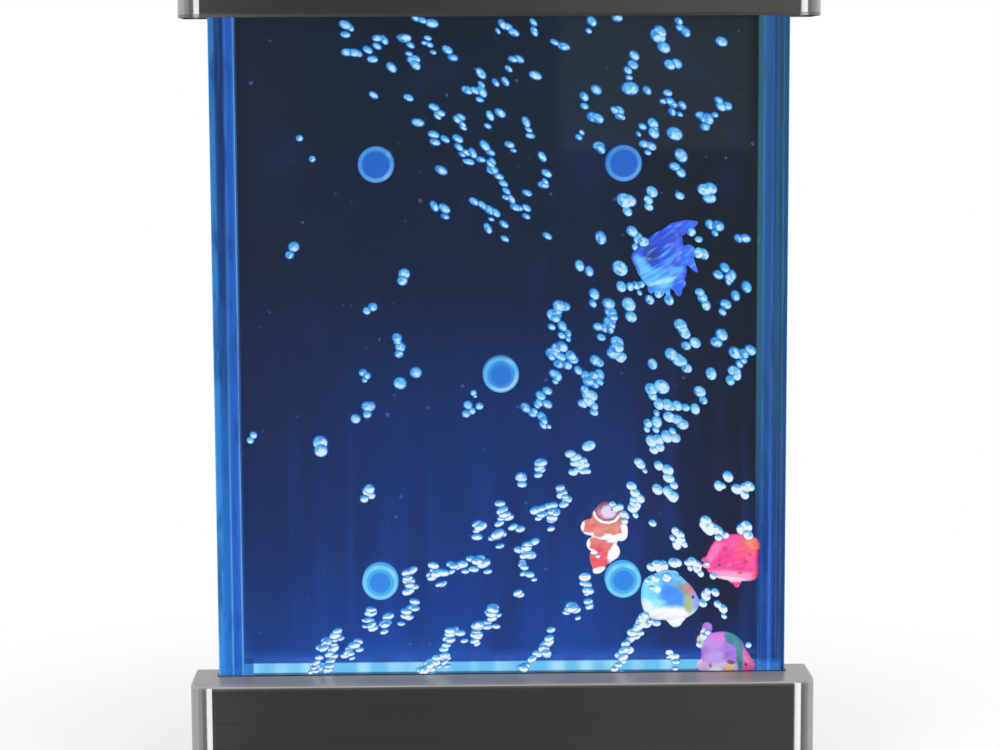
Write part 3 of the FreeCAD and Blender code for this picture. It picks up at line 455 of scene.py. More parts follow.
@dataclass(frozen=True)
class NightBack(Finish):
    """Dark blue back sheet: its front takes the light from below, its rear is plain gloss."""

    front: float = 28.0
    water_height: float = 640.0
    right_fade: Point = (60.0, 215.0)
    left_fade: Point = (-90.0, -235.0)
    strip_top: float = 131.0
    strip_half_width: float = 243.0
    bar_reflection_edge: Point = (247.4, 248.6)
    reflection_left: Point = (52.0, 62.0)
    reflection_right: Point = (246.0, 236.0)
    reflection_foot: Point = (618.0, 632.0)

    def lay(self, bench: Bench) -> Signal:
        """Lay the light's fall with height, its drift to the left, faint upright streaks, and painted
        reflections of a light rectangle and of the right bar.

        Args:
            bench: The bench to lay on.

        Returns:
            The finish's shader.
        """
        across, back, up = bench.millimetres()
        height = (up - BASE_TOP) / self.water_height
        cloud = bench.grain((4.0, 4.0, 3.0), 3.0, 2.0) - 0.5
        centre = graded(
            (0.0, 38, 84, 172), (0.045, 33, 70, 154), (0.1, 31, 66, 146), (0.22, 32, 58, 124),
            (0.36, 29, 51, 108), (0.48, 28, 45, 88), (0.6, 27, 37, 60), (0.8, 25, 36, 48),
            (1.0, 25, 36, 46),
        )
        right = graded(
            (0.0, 30, 58, 140), (0.05, 31, 44, 92), (0.1, 30, 35, 58), (0.4, 27, 34, 46),
            (0.7, 25, 31, 36), (1.0, 23, 29, 30),
        )
        left = graded(
            (0.0, 34, 76, 160), (0.06, 33, 67, 143), (0.12, 32, 59, 124), (0.24, 31, 48, 98),
            (0.45, 30, 41, 74), (0.65, 30, 37, 54), (1.0, 29, 38, 52),
        )
        level = height + cloud * 0.24
        middle = bench.ramp(level, centre)
        shaded = bench.blend(across.smooth(*self.right_fade), middle, bench.ramp(level, right))
        shaded = bench.blend(across.smooth(*self.left_fade), shaded, bench.ramp(level, left))
        low = height.smooth(0.62, 0.1)
        streak = bench.grain((46.0, 1.0, 2.6), 3.0, 9.0).smooth(0.46, 0.76)
        shaded = bench.blend(streak * low * 0.24, shaded, srgb(38, 88, 190))
        dark_streak = bench.grain((26.0, 1.0, 3.0), 3.0, 5.0).smooth(0.46, 0.72)
        shaded = bench.blend(dark_streak * low * 0.5, shaded, srgb(32, 42, 78))
        patch = bench.grain((16.0, 1.0, 12.0), 2.0, 1.0).smooth(0.56, 0.74)
        shaded = bench.blend(patch * 0.2, shaded, srgb(34, 54, 110))
        speck = bench.grain((150.0, 1.0, 150.0), 0.0, 6.0).smooth(0.79, 0.84)
        shaded = bench.blend(speck * 0.3, shaded, srgb(100, 140, 210))
        # Painted reflection: a faint grey light rectangle mirrored high on the right of the sheet.
        painted_pane_reflection = across.smooth(*self.reflection_left) * across.smooth(*self.reflection_right) * up.smooth(*self.reflection_foot)
        shaded = bench.blend(painted_pane_reflection * 0.2, shaded, srgb(56, 72, 80))
        over_strip = up - self.strip_top
        echo = over_strip.smooth(9.0, 1.0) * over_strip.smooth(-2.0, 1.0)
        shaded = bench.blend(echo * 0.4, shaded, srgb(40, 92, 190))
        past_strip = abs(across) - self.strip_half_width
        ends = past_strip.smooth(-0.6, 0.4) * up.smooth(125.6, 124.4)
        shaded = bench.blend(ends * 0.85, shaded, srgb(58, 142, 226))
        # Painted reflection: the right side bar mirrored along the sheet's right edge, dark blue low down and
        # teal higher up.
        beside = bench.blend(height.smooth(0.15, 0.45), srgb(32, 62, 124), srgb(62, 122, 134))
        shaded = bench.blend(across.smooth(*self.bar_reflection_edge) * 0.6, shaded, beside)
        lit = back.smooth(self.front + 1.5, self.front + 0.5)
        glow = bench.blend(lit, srgb(0, 0, 0), shaded)
        rough = 0.05 + bench.grain((9.0, 9.0, 9.0), 3.0) * 0.07
        return bench.surface(
            Base_Color=srgb(8, 12, 26), Roughness=rough, Emission_Color=glow, Emission_Strength=1.0, IOR=1.49
        )


@dataclass(frozen=True)
class LitStrip(Finish):
    """Frosted strip over the lamps, cyan with brighter patches over each lamp."""

    lamp_pitch: float = 27.0
    lit_top: Point = (124.8, 126.6)
    sunk: Point = (117.0, 115.4)

    def lay(self, bench: Bench) -> Signal:
        """Lay the lamps' bright patches and a brighter upper edge.

        Args:
            bench: The bench to lay on.

        Returns:
            The finish's shader.
        """
        across, _, up = bench.millimetres()
        turn = across * (math.tau / self.lamp_pitch)
        wave = turn.maths("COSINE", turn)
        patchy = bench.grain((40.0, 10.0, 8.0), 3.0)
        bright = (wave * 0.12 + patchy).smooth(0.35, 0.85)
        colour = bench.blend(bright, srgb(104, 192, 240), srgb(166, 226, 248))
        # Painted shade: the strip is darker where it sinks below the base's top.
        under = up.smooth(*self.sunk)
        colour = bench.blend(under * 0.8, colour, srgb(26, 52, 96))
        above = bench.blend(patchy.smooth(0.4, 0.7), srgb(34, 72, 158), srgb(38, 88, 182))
        colour = bench.blend(up.smooth(*self.lit_top), colour, above)
        return bench.surface(
            Base_Color=srgb(12, 30, 60), Roughness=0.35 + patchy * 0.2,
            Emission_Color=colour, Emission_Strength=1.05,
        )


@dataclass(frozen=True)
class SpacerGlow(Finish):
    """Clear round spacer with a bright rim, a paler bevel and a blue face."""

    middle: Point = (0.0, 0.0)
    radius: float = 17.5
    low_light: float = 0.0
    lift: float = 0.0

    def lay(self, bench: Bench) -> Signal:
        """Lay rings round the spacer's middle, brighter where the light from below strikes.

        Args:
            bench: The bench to lay on.

        Returns:
            The finish's shader.
        """
        across, _, up = bench.millimetres()
        over = (up - self.middle[1]) / self.radius
        beside = (across - self.middle[0]) / self.radius
        out = (over**2.0 + beside**2.0) ** 0.5
        rings = graded(
            (0.0, 40, 102, 196), (0.6, 40, 102, 196), (0.7, 42, 108, 200), (0.77, 60, 138, 222),
            (0.85, 74, 160, 234), (0.92, 74, 158, 230), (0.97, 52, 120, 200), (1.0, 34, 80, 158),
        )
        colour = bench.ramp(out, rings)
        lit_rings = graded(
            (0.0, 56, 142, 232), (0.54, 58, 146, 234), (0.62, 86, 190, 248), (0.7, 74, 172, 244),
            (0.8, 116, 222, 255), (0.92, 120, 222, 255), (1.0, 80, 172, 240),
        )
        colour = bench.blend(self.lift, colour, bench.ramp(out, lit_rings))
        lower = (beside * 0.5 - over).smooth(0.1, 0.8) * out.smooth(0.7, 0.8) * out.smooth(0.98, 0.84)
        colour = bench.blend(lower * (0.2 + self.low_light), colour, srgb(190, 236, 252))
        cloud = bench.grain((90.0, 40.0, 60.0), 3.0)
        colour = bench.blend(cloud.smooth(0.4, 0.8) * (0.3 - self.lift * 0.2), colour, srgb(40, 92, 196))
        return bench.surface(
            Base_Color=srgb(14, 36, 84), Roughness=0.05 + cloud * 0.06,
            Emission_Color=colour, Emission_Strength=0.9,
        )


@dataclass(frozen=True)
class BubbleFilm(Finish):
    """Air bubble in lit water, its light painted as glow: a deep blue rim of painted shade, a cyan body and a
    white painted glint.
    """

    near_strip: Point = (290.0, 110.0)
    glint_place: Point = (0.12, -0.3)
    wander: float = 1.7

    def lay(self, bench: Bench) -> Signal:
        """Lay a small painted glint that differs from bubble to bubble, and near the strip a white under half
        painted as lit from below.

        Args:
            bench: The bench to lay on.

        Returns:
            The finish's shader.
        """
        up = bench.millimetres()[2]
        beside, ahead, over = bench.facing()
        low = (up - BASE_TOP).smooth(*self.near_strip)
        spark = bench.grain((230.0, 230.0, 230.0), 1.0) - 0.5
        speck = bench.grain((170.0, 170.0, 170.0), 1.0, 3.0) - 0.5
        aside = beside - self.glint_place[0] + spark * self.wander
        under = over - self.glint_place[1] + speck * self.wander
        out = (aside * aside + under * under) ** 0.5
        glint = (0.74 - out) / 0.6
        bar = 1.0 - (over + spark * 1.2) / 0.36
        near = ahead * -1.0
        lit = (glint + (bar - glint) * low).smooth(0.0, 1.0) * near.smooth(0.58, 0.9)
        # Painted shade: the rim is a darker deep blue, and the bubble fades out towards it.
        rim = near.smooth(0.9, 0.5)
        body = bench.blend((spark + speck).smooth(-0.3, 0.3), srgb(58, 146, 228), srgb(104, 204, 246))
        colour = bench.blend(rim, body, srgb(28, 112, 222))
        white = bench.blend(low, srgb(206, 242, 255), srgb(248, 255, 255))
        colour = bench.blend(lit, colour, white)
        inside = bench.node("ShaderNodeNewGeometry", output="Backfacing")
        alpha = (1.0 - near.smooth(0.75, 0.2) * 0.85) * (1.0 - inside)
        return bench.surface(
            Base_Color=srgb(10, 24, 52), Roughness=0.12 + abs(spark) * 0.2, Alpha=alpha,
            Emission_Color=colour, Emission_Strength=0.96, Specular_IOR_Level=0.0,
        )


@dataclass(frozen=True)
class WaterSheet(Finish):
    """The water's surface at the top of the tank."""

    def lay(self, bench: Bench) -> Signal:
        """Lay a thin blue see-through film with ripples.

        Args:
            bench: The bench to lay on.

        Returns:
            The finish's shader.
        """
        ripple = bench.grain((60.0, 120.0, 30.0), 3.0)
        colour = bench.blend(ripple.smooth(0.35, 0.7), srgb(60, 130, 200), srgb(160, 214, 244))
        alpha = 0.28 + ripple * 0.2
        normal = bench.bump(ripple, 0.4, 0.0015)
        # Painted light: the film glows faintly in its own colour.
        return bench.surface(
            Base_Color=colour, Roughness=0.04 + ripple * 0.04, Alpha=alpha, Normal=normal, IOR=1.33,
            Emission_Color=colour, Emission_Strength=0.15,
        )


@dataclass(frozen=True)
class Patch:
    """A round or long patch of paint, in millimetres from the fish's middle."""

    x: float
    z: float
    half_x: float
    half_z: float
    colour: Colour
    turn: float = 0.0
    soft: float = 0.35
    ring: float = 0.0


@dataclass(frozen=True)
class FishPaint(Finish):
    """Soft glossy plastic painted by hand in layers of patches."""

    middle: tuple[float, float, float] = (0.0, 0.0, 0.0)
    ground: Colour = (0.5, 0.5, 0.5, 1.0)
    patches: tuple[Patch, ...] = ()
    stroke: float = 0.14
    stroke_turn: float = 20.0
    glow: float = 0.22
    unsteady: float = 0.0028
    stroke_size: tuple[float, float, float] = (0.017, 0.017, 0.0032)

    def patch_mask(self, bench: Bench, point: Signal, patch: Patch) -> Signal:
        """Give how much of a patch lies on the surface.

        Args:
            bench: The bench to lay on.
            point: The surface point in metres, a little unsteady as a brush is.
            patch: The patch.

        Returns:
            One inside the patch and none outside it.
        """
        place = ((self.middle[0] + patch.x) * MM, 0.0, (self.middle[2] + patch.z) * MM)
        sockets = {
            "Vector": point,
            "Location": place,
            "Rotation": (0.0, -math.radians(patch.turn), 0.0),
            "Scale": (patch.half_x * MM, 1000.0, patch.half_z * MM),
        }
        local = bench.node("ShaderNodeMapping", {"vector_type": "TEXTURE"}, sockets)
        out = bench.node("ShaderNodeVectorMath", {"operation": "LENGTH"}, {0: local}, "Value")
        if patch.ring:
            return abs(out - 1.0).smooth(patch.ring, patch.ring * 0.4)
        return out.smooth(1.0 + patch.soft * 0.5, 1.0 - patch.soft * 0.5)

    def lay(self, bench: Bench) -> Signal:
        """Lay the ground colour and the patches over it, then a fine moulded skin.

        Args:
            bench: The bench to lay on.

        Returns:
            The finish's shader.
        """
        wobble = bench.node("ShaderNodeTexNoise", {}, {"Vector": bench.place(), "Scale": 260.0}, "Color")
        half = (0.5, 0.5, 0.5)
        centred = bench.node("ShaderNodeVectorMath", {"operation": "SUBTRACT"}, {0: wobble, 1: half})
        scaled = {0: centred, "Scale": self.unsteady}
        small = bench.node("ShaderNodeVectorMath", {"operation": "SCALE"}, scaled)
        point = bench.node("ShaderNodeVectorMath", {"operation": "ADD"}, {0: bench.place(), 1: small})
        mottle = bench.grain((190.0, 190.0, 190.0), 3.0)
        shade = tuple(part * 0.72 for part in self.ground[:3]) + (1.0,)
        colour = bench.blend(mottle.smooth(0.4, 0.75), self.ground, shade)
        for patch in self.patches:
            colour = bench.blend(self.patch_mask(bench, point, patch), colour, patch.colour)
        turned = bench.node("ShaderNodeMapping", {"vector_type": "TEXTURE"}, {
            "Vector": bench.place(),
            "Rotation": (0.0, -math.radians(self.stroke_turn), 0.0),
            "Scale": self.stroke_size,
        })
        brush = bench.node("ShaderNodeTexNoise", {}, {"Vector": turned, "Scale": 1.0, "Detail": 2.0})
        colour = bench.blend(brush.smooth(0.52, 0.7) * self.stroke, colour, srgb(150, 206, 250))
        colour = bench.blend(brush.smooth(0.48, 0.32) * self.stroke, colour, srgb(20, 40, 120))
        colour = bench.blend(0.08, colour, srgb(80, 140, 225))
        skin = bench.grain((900.0, 900.0, 900.0), 2.0)
        rough = 0.28 + mottle * 0.16
        normal = bench.bump(skin + mottle, 0.18, 0.0004)
        return bench.surface(
            Base_Color=colour, Roughness=rough, Normal=normal, Coat_Weight=0.3, Coat_Roughness=0.15,
            Emission_Color=colour, Emission_Strength=self.glow,
        )


@dataclass(frozen=True)
class Moulded(Finish):
    """Moulded plastic or rubber with a fine spark texture."""

    colour: Colour = (0.03, 0.03, 0.03, 1.0)
    roughness: float = 0.5
    cells: float = 900.0

    def lay(self, bench: Bench) -> Signal:
        """Lay the spark texture and faint flow marks.

        Args:
            bench: The bench to lay on.

        Returns:
            The finish's shader.
        """
        spark = bench.grain((self.cells, self.cells, self.cells), 2.0)
        flow = bench.grain((30.0, 30.0, 30.0), 3.0, 3.0)
        lighter = tuple(min(1.0, part * 1.35 + 0.006) for part in self.colour[:3]) + (1.0,)
        colour = bench.blend(flow.smooth(0.3, 0.8) * 0.7 + spark * 0.3, self.colour, lighter)
        rough = self.roughness + (spark - 0.5) * 0.2
        normal = bench.bump(spark, 0.25, 0.0003)
        return bench.surface(Base_Color=colour, Roughness=rough, Normal=normal)


@dataclass(frozen=True)
class MillMetal(Finish):
    """Rolled metal as it comes from the mill, with drawn lines along one axis."""

    colour: Colour = (0.6, 0.6, 0.62, 1.0)
    roughness: float = 0.35
    stretch: tuple[float, float, float] = (12.0, 500.0, 500.0)

    def lay(self, bench: Bench) -> Signal:
        """Lay the drawn lines and dull spots.

        Args:
            bench: The bench to lay on.

        Returns:
            The finish's shader.
        """
        lines = bench.grain(self.stretch, 3.0)
        spots = bench.grain((70.0, 70.0, 70.0), 3.0, 2.0)
        darker = tuple(part * 0.72 for part in self.colour[:3]) + (1.0,)
        colour = bench.blend((lines * 0.6 + spots * 0.4).smooth(0.3, 0.75), darker, self.colour)
        rough = self.roughness + (spots - 0.5) * 0.24
        normal = bench.bump(lines, 0.15, 0.0002)
        return bench.surface(Base_Color=colour, Metallic=1.0, Roughness=rough, Normal=normal)


@dataclass(frozen=True)
class CoatedBoard(Finish):
    """Green coated circuit board with copper tracks showing through the coat."""

    def lay(self, bench: Bench) -> Signal:
        """Lay tracks as bricks of two greens with bare pads.

        Args:
            bench: The bench to lay on.

        Returns:
            The finish's shader.
        """
        settings = {"offset": 0.5, "squash": 1.0}
        sockets = {
            "Vector": bench.place(),
            "Color1": srgb(18, 92, 52),
            "Color2": srgb(24, 112, 60),
            "Mortar": srgb(46, 140, 84),
            "Scale": 90.0,
            "Mortar Size": 0.03,
        }
        tracks = bench.node("ShaderNodeTexBrick", settings, sockets)
        pads = bench.grain((420.0, 420.0, 420.0), 0.0, 6.0).smooth(0.68, 0.72)
        colour = bench.blend(pads, tracks, srgb(206, 190, 140))
        return bench.surface(Base_Color=colour, Roughness=0.4 - pads * 0.12, Metallic=pads * 0.8)


@dataclass(frozen=True)
class LampChip(Finish):
    """Small lamp chip: pale case round a yellow face."""

    def lay(self, bench: Bench) -> Signal:
        """Lay a speckled phosphor that glows a little.

        Args:
            bench: The bench to lay on.

        Returns:
            The finish's shader.
        """
        speckle = bench.grain((1400.0, 1400.0, 1400.0), 2.0)
        top = bench.facing()[2].smooth(0.6, 0.9)
        colour = bench.blend(top * (0.6 + speckle * 0.4), srgb(232, 232, 224), srgb(236, 210, 90))
        glow = bench.blend(top, srgb(0, 0, 0), srgb(150, 210, 255))
        return bench.surface(Base_Color=colour, Roughness=0.35, Emission_Color=glow, Emission_Strength=0.5)


@dataclass(frozen=True)
class CopperWinding(Finish):
    """Enamelled copper wire wound in close turns."""

    turns: float = 1900.0

    def lay(self, bench: Bench) -> Signal:
        """Lay the turns as fine bands with a bump.

        Args:
            bench: The bench to lay on.

        Returns:
            The finish's shader.
        """
        settings = {"wave_type": "BANDS", "bands_direction": "X"}
        sockets = {"Vector": bench.place(), "Scale": self.turns / math.tau, "Distortion": 0.6}
        bands = bench.node("ShaderNodeTexWave", settings, sockets, "Fac")
        colour = bench.blend(bands, srgb(120, 54, 24), srgb(206, 118, 66))
        normal = bench.bump(bands, 0.5, 0.0003)
        return bench.surface(Base_Color=colour, Metallic=1.0, Roughness=0.3 + bands * 0.1, Normal=normal)


@dataclass(frozen=True)
class MilkyHose(Finish):
    """Soft milky tube, a little see-through."""

    def lay(self, bench: Bench) -> Signal:
        """Lay a cloudy wall.

        Args:
            bench: The bench to lay on.

        Returns:
            The finish's shader.
        """
        cloud = bench.grain((120.0, 120.0, 120.0), 3.0)
        colour = bench.blend(cloud.smooth(0.3, 0.7), srgb(206, 214, 216), srgb(230, 236, 238))
        alpha = 0.72 + cloud * 0.2
        return bench.surface(Base_Color=colour, Roughness=0.3 + cloud * 0.15, Alpha=alpha)


@dataclass
class Piece:
    """A modelled piece on its way from mesh to dressed object."""

    name: str
    body: str
    finish: Finish
    slot: str
    replaces: tuple[str, ...] = ()

    def finished(self, mesh: bmesh.types.BMesh) -> bpy.types.Object:
        """Close the mesh, make its object, dress it and hang it on its body.

        Args:
            mesh: The shaped mesh, in metres at its place; it is freed here.

        Returns:
            The finished object.
        """
        bmesh.ops.remove_doubles(mesh, verts=mesh.verts[:], dist=1e-6)
        bmesh.ops.recalc_face_normals(mesh, faces=mesh.faces[:])
        for face in mesh.faces:
            face.smooth = True
        data = bpy.data.meshes.new(self.name)
        mesh.to_mesh(data)
        mesh.free()
        data.materials.append(self.finish.material())
        made = bpy.data.objects.new(self.name, data)
        bpy.context.scene.collection.objects.link(made)
        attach(made, self.body)
        if self.replaces:
            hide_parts(*self.replaces)
        LOG.info("%s: %d faces, on %s", self.name, len(data.polygons), self.body)
        return made


def dress(finish: Finish, *nodes: str) -> None:
    """Give CAD nodes a finish.

    Args:
        finish: The finish.
        nodes: The nodes' names.
    """
    material = finish.material()
    for name in nodes:
        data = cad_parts[name].data
        if not data.materials:
            data.materials.append(material)
        for place in range(len(data.materials)):
            data.materials[place] = material
        LOG.info("%s: dressed in %s", name, finish.name)


@dataclass
class SteelCase:
    """The folded steel base and cap, with what fastens them."""

    steel: Finish = BrushedSteel("case steel", edge_level=BASE_TOP)
    cap_steel: Finish = BrushedSteel("cap steel", tone=0.44, rim_level=750.0)
    inner_steel: Finish = BrushedSteel("inner steel", tone=0.44, roughness=0.34)
    screw_steel: Finish = MillMetal("screw steel", srgb(176, 176, 178), 0.28, (600.0, 600.0, 60.0))
    rubber: Finish = Moulded("black rubber", srgb(30, 30, 31), 0.62, 700.0)
    plastic: Finish = Moulded("black moulding", srgb(36, 36, 39), 0.46, 1100.0)

    def build(self) -> None:
        """Dress the case's sheets, screws, feet and gasket."""
        dress(self.steel, "base_shell", "rear_cover")
        dress(self.cap_steel, "cap_shell")
        dress(self.inner_steel, "cap_plate", "base_floor", "tank_channel", "bracket_left", "bracket_right")
        dress(self.screw_steel, "cap_posts", "cap_screws", "floor_screws")
        dress(self.screw_steel, "rear_cover_screws", "bracket_screws")
        dress(self.rubber, "cap_pads", "feet", "slot_gasket", "tank_pads")
        dress(self.plastic, "cap_rests", "power_inlet", "button_housing", "power_button")


@dataclass
class Tank:
    """The water tank: clear front, dark back, lit bars and strip, round spacers."""

    half_width: float = 275.0
    water_half_width: float = 250.4
    water_front: float = 11.3
    water_back: float = 27.7
    water_level: float = 764.0
    ripple: float = 0.9
    long_wave: float = 71.0
    short_wave: float = 173.0
    cross_wave: float = 420.0
    creep: float = 1.2
    skin: float = 0.4
    spacers: tuple[str, ...] = ("top_left", "top_right", "centre", "bottom_left", "bottom_right")

    def build(self) -> None:
        """Dress the acrylic and add the water's surface."""
        dress(ClearAcrylic("clear front", self.half_width), "front_sheet")
        dress(NightBack("night back"), "back_sheet")
        dress(BarGlow("left bar glow", Side.LEFT), "side_bar_left", "side_spacer_left")
        dress(BarGlow("right bar glow", Side.RIGHT, foot=0.7), "side_bar_right", "side_spacer_right")
        dress(LitStrip("lit strip"), "light_strip")
        dress(Moulded("tank floor acrylic", srgb(30, 84, 160), 0.2, 300.0), "floor_bar")
        dress(Moulded("jet nozzles", srgb(150, 196, 226), 0.25, 700.0), "air_jets")
        for place in self.spacers:
            self.dress_spacer("spacer_" + place)
        self.add_water()

    def dress_spacer(self, node: str) -> None:
        """Give one spacer rings round its own middle.

        Args:
            node: The spacer's node.
        """
        low, high = node_box(node)
        middle = (low + high) * 0.5
        low_light = 0.5 if node == "spacer_centre" else 0.0
        lift = 1.0 if "bottom" in node else low_light
        radius = (high.x - low.x) * 0.5
        glow = SpacerGlow(node.replace("_", " ") + " glow", (middle.x, middle.z), radius, low_light, lift)
        dress(glow, node)

    def add_water(self) -> None:
        """Model the rippled surface of the water as a thin skin."""
        mesh = bmesh.new()
        middle = (self.water_front + self.water_back) * 0.5
        half_depth = (self.water_back - self.water_front) * 0.5
        spread = Matrix.Diagonal((self.water_half_width * MM, half_depth * MM, 1.0, 1.0))
        seat = Matrix.Translation((0.0, middle * MM, self.water_level * MM))
        bmesh.ops.create_grid(mesh, x_segments=160, y_segments=8, size=1.0, matrix=seat @ spread)
        for vert in mesh.verts:
            cross = vert.co.x * self.short_wave + vert.co.y * self.cross_wave
            swell = math.sin(vert.co.x * self.long_wave) + 0.6 * math.sin(cross)
            to_wall = abs(vert.co.y / MM - middle) / half_depth
            vert.co.z += (swell * self.ripple * 0.5 + to_wall**6 * self.creep) * MM
        bmesh.ops.recalc_face_normals(mesh, faces=mesh.faces[:])
        bmesh.ops.solidify(mesh, geom=mesh.faces[:], thickness=self.skin * MM)
        Piece("water_surface", "panel", WaterSheet("water surface"), "clear_acrylic").finished(mesh)


def add_egg(
    mesh: bmesh.types.BMesh,
    place: Vector,
    halves: tuple[float, float, float],
    lean: float = 0.0,
    segments: int = 8,
    rings: int = 6,
) -> None:
    """Add an egg, such as a bubble or an eye.

    Args:
        mesh: The mesh to add to.
        place: The egg's middle in millimetres.
        halves: Its half lengths along x, y and z.
        lean: How far its long axis dips to the right, in degrees.
        segments: Faces round it.
        rings: Faces from end to end.
    """
    seat = Matrix.Translation(place * MM)
    turn = Matrix.Rotation(math.radians(lean), 4, "Y")
    shape = Matrix.Diagonal((*(half * MM for half in halves), 1.0))
    bmesh.ops.create_uvsphere(
        mesh, u_segments=segments, v_segments=rings, radius=1.0, matrix=seat @ turn @ shape
    )


@dataclass(frozen=True)
class Lobe:
    """A rounded part of a fish: an outline about a middle, in millimetres from the fish's middle."""

    middle: Point
    outline: tuple[Point, ...]
    thickness: float
    depth: float = 0.0
    ridges: int = 0
    segments: int = 48
    rings: int = 14

    def reach(self, angle: float) -> float:
        """Give the outline's distance from the middle along an angle.

        Args:
            angle: The angle in radians, from x towards z.

        Returns:
            The distance in millimetres, on a smooth curve through the outline's points.
        """
        arms = [(x - self.middle[0], z - self.middle[1]) for x, z in self.outline]
        polar = sorted((math.atan2(z, x), math.hypot(x, z)) for x, z in arms)
        count = len(polar)
        after = next((i for i in range(count) if polar[i][0] > angle), count)

        def corner(step: int) -> Point:
            """Give the outline point that many steps on, going round."""
            turn, place = divmod(after - 1 + step, count)
            return (polar[place][0] + turn * math.tau, polar[place][1])

        first, start, end, last = corner(-1), corner(0), corner(1), corner(2)
        share = (angle - start[0]) / max(1e-6, end[0] - start[0])
        span = end[0] - start[0]
        rise_in = (end[1] - first[1]) / max(1e-6, end[0] - first[0]) * span
        rise_out = (last[1] - start[1]) / max(1e-6, last[0] - start[0]) * span
        square, cube = share**2, share**3
        return (
            (2 * cube - 3 * square + 1) * start[1]
            + (cube - 2 * square + share) * rise_in
            + (3 * square - 2 * cube) * end[1]
            + (cube - square) * rise_out
        )

    def add(self, mesh: bmesh.types.BMesh, seat: Vector) -> None:
        """Add the lobe to a fish's mesh.

        Args:
            mesh: The fish's mesh.
            seat: The fish's middle in millimetres.
        """
        turned = Matrix.Rotation(math.radians(90.0), 4, "X")
        made = bmesh.ops.create_uvsphere(
            mesh, u_segments=self.segments, v_segments=self.rings, radius=1.0, matrix=turned
        )
        for vert in made["verts"]:
            angle = math.atan2(vert.co.z, vert.co.x)
            ring = math.hypot(vert.co.x, vert.co.z)
            far = self.reach(angle) * ring
            thick = vert.co.y * self.thickness
            if self.ridges:
                thick *= 0.78 + 0.22 * math.cos(self.ridges * angle)
            x = seat.x + self.middle[0] + far * math.cos(angle)
            z = seat.z + self.middle[1] + far * math.sin(angle)
            vert.co = Vector((x, seat.y + self.depth + thick, z)) * MM


def both_sides(
    middle: Point, outline: tuple[Point, ...], thickness: float, depth: float
) -> tuple[Lobe, Lobe]:
    """Give a pair of ridged side fins, the near one first."""
    return (Lobe(middle, outline, thickness, -depth, 7), Lobe(middle, outline, thickness, depth, 7))


@dataclass
class Fish:
    """A toy fish of soft plastic that drifts in the water."""

    name: str
    lobes: tuple[Lobe, ...]
    eye: Point
    eye_size: float
    ground: Colour
    patches: tuple[Patch, ...]
    eye_depth: float = 3.6
    eye_white: Colour = field(default_factory=lambda: srgb(236, 240, 246))
    stroke: float = 0.1
    stroke_turn: float = 20.0
    eye_dome: float = 1.5
    pupil: float = 0.62

    def build(self) -> None:
        """Model the body, fins and eyes and paint them."""
        node = "fish_" + self.name
        low, high = node_box(node)
        seat = (low + high) * 0.5
        mesh = bmesh.new()
        for lobe in self.lobes:
            lobe.add(mesh, seat)
        self.add_eyes(mesh, seat)
        pupil = self.eye_size * self.pupil
        eye_paint = (
            Patch(*self.eye, self.eye_size, self.eye_size, self.eye_white, soft=0.2),
            Patch(*self.eye, pupil, pupil, srgb(10, 12, 22), soft=0.2),
        )
        paint = FishPaint(
            self.name + " fish paint", tuple(seat), self.ground, self.patches + eye_paint, self.stroke,
            self.stroke_turn,
        )
        Piece(node + "_toy", self.name + "_fish", paint, node + "_plastic", (node,)).finished(mesh)

    def add_eyes(self, mesh: bmesh.types.BMesh, seat: Vector) -> None:
        """Add a domed eye on each side.

        Args:
            mesh: The fish's mesh.
            seat: The fish's middle in millimetres.
        """
        for side in (-1.0, 1.0):
            place = seat + Vector((self.eye[0], side * self.eye_depth, self.eye[1]))
            add_egg(mesh, place, (self.eye_size, self.eye_dome, self.eye_size), segments=20, rings=12)


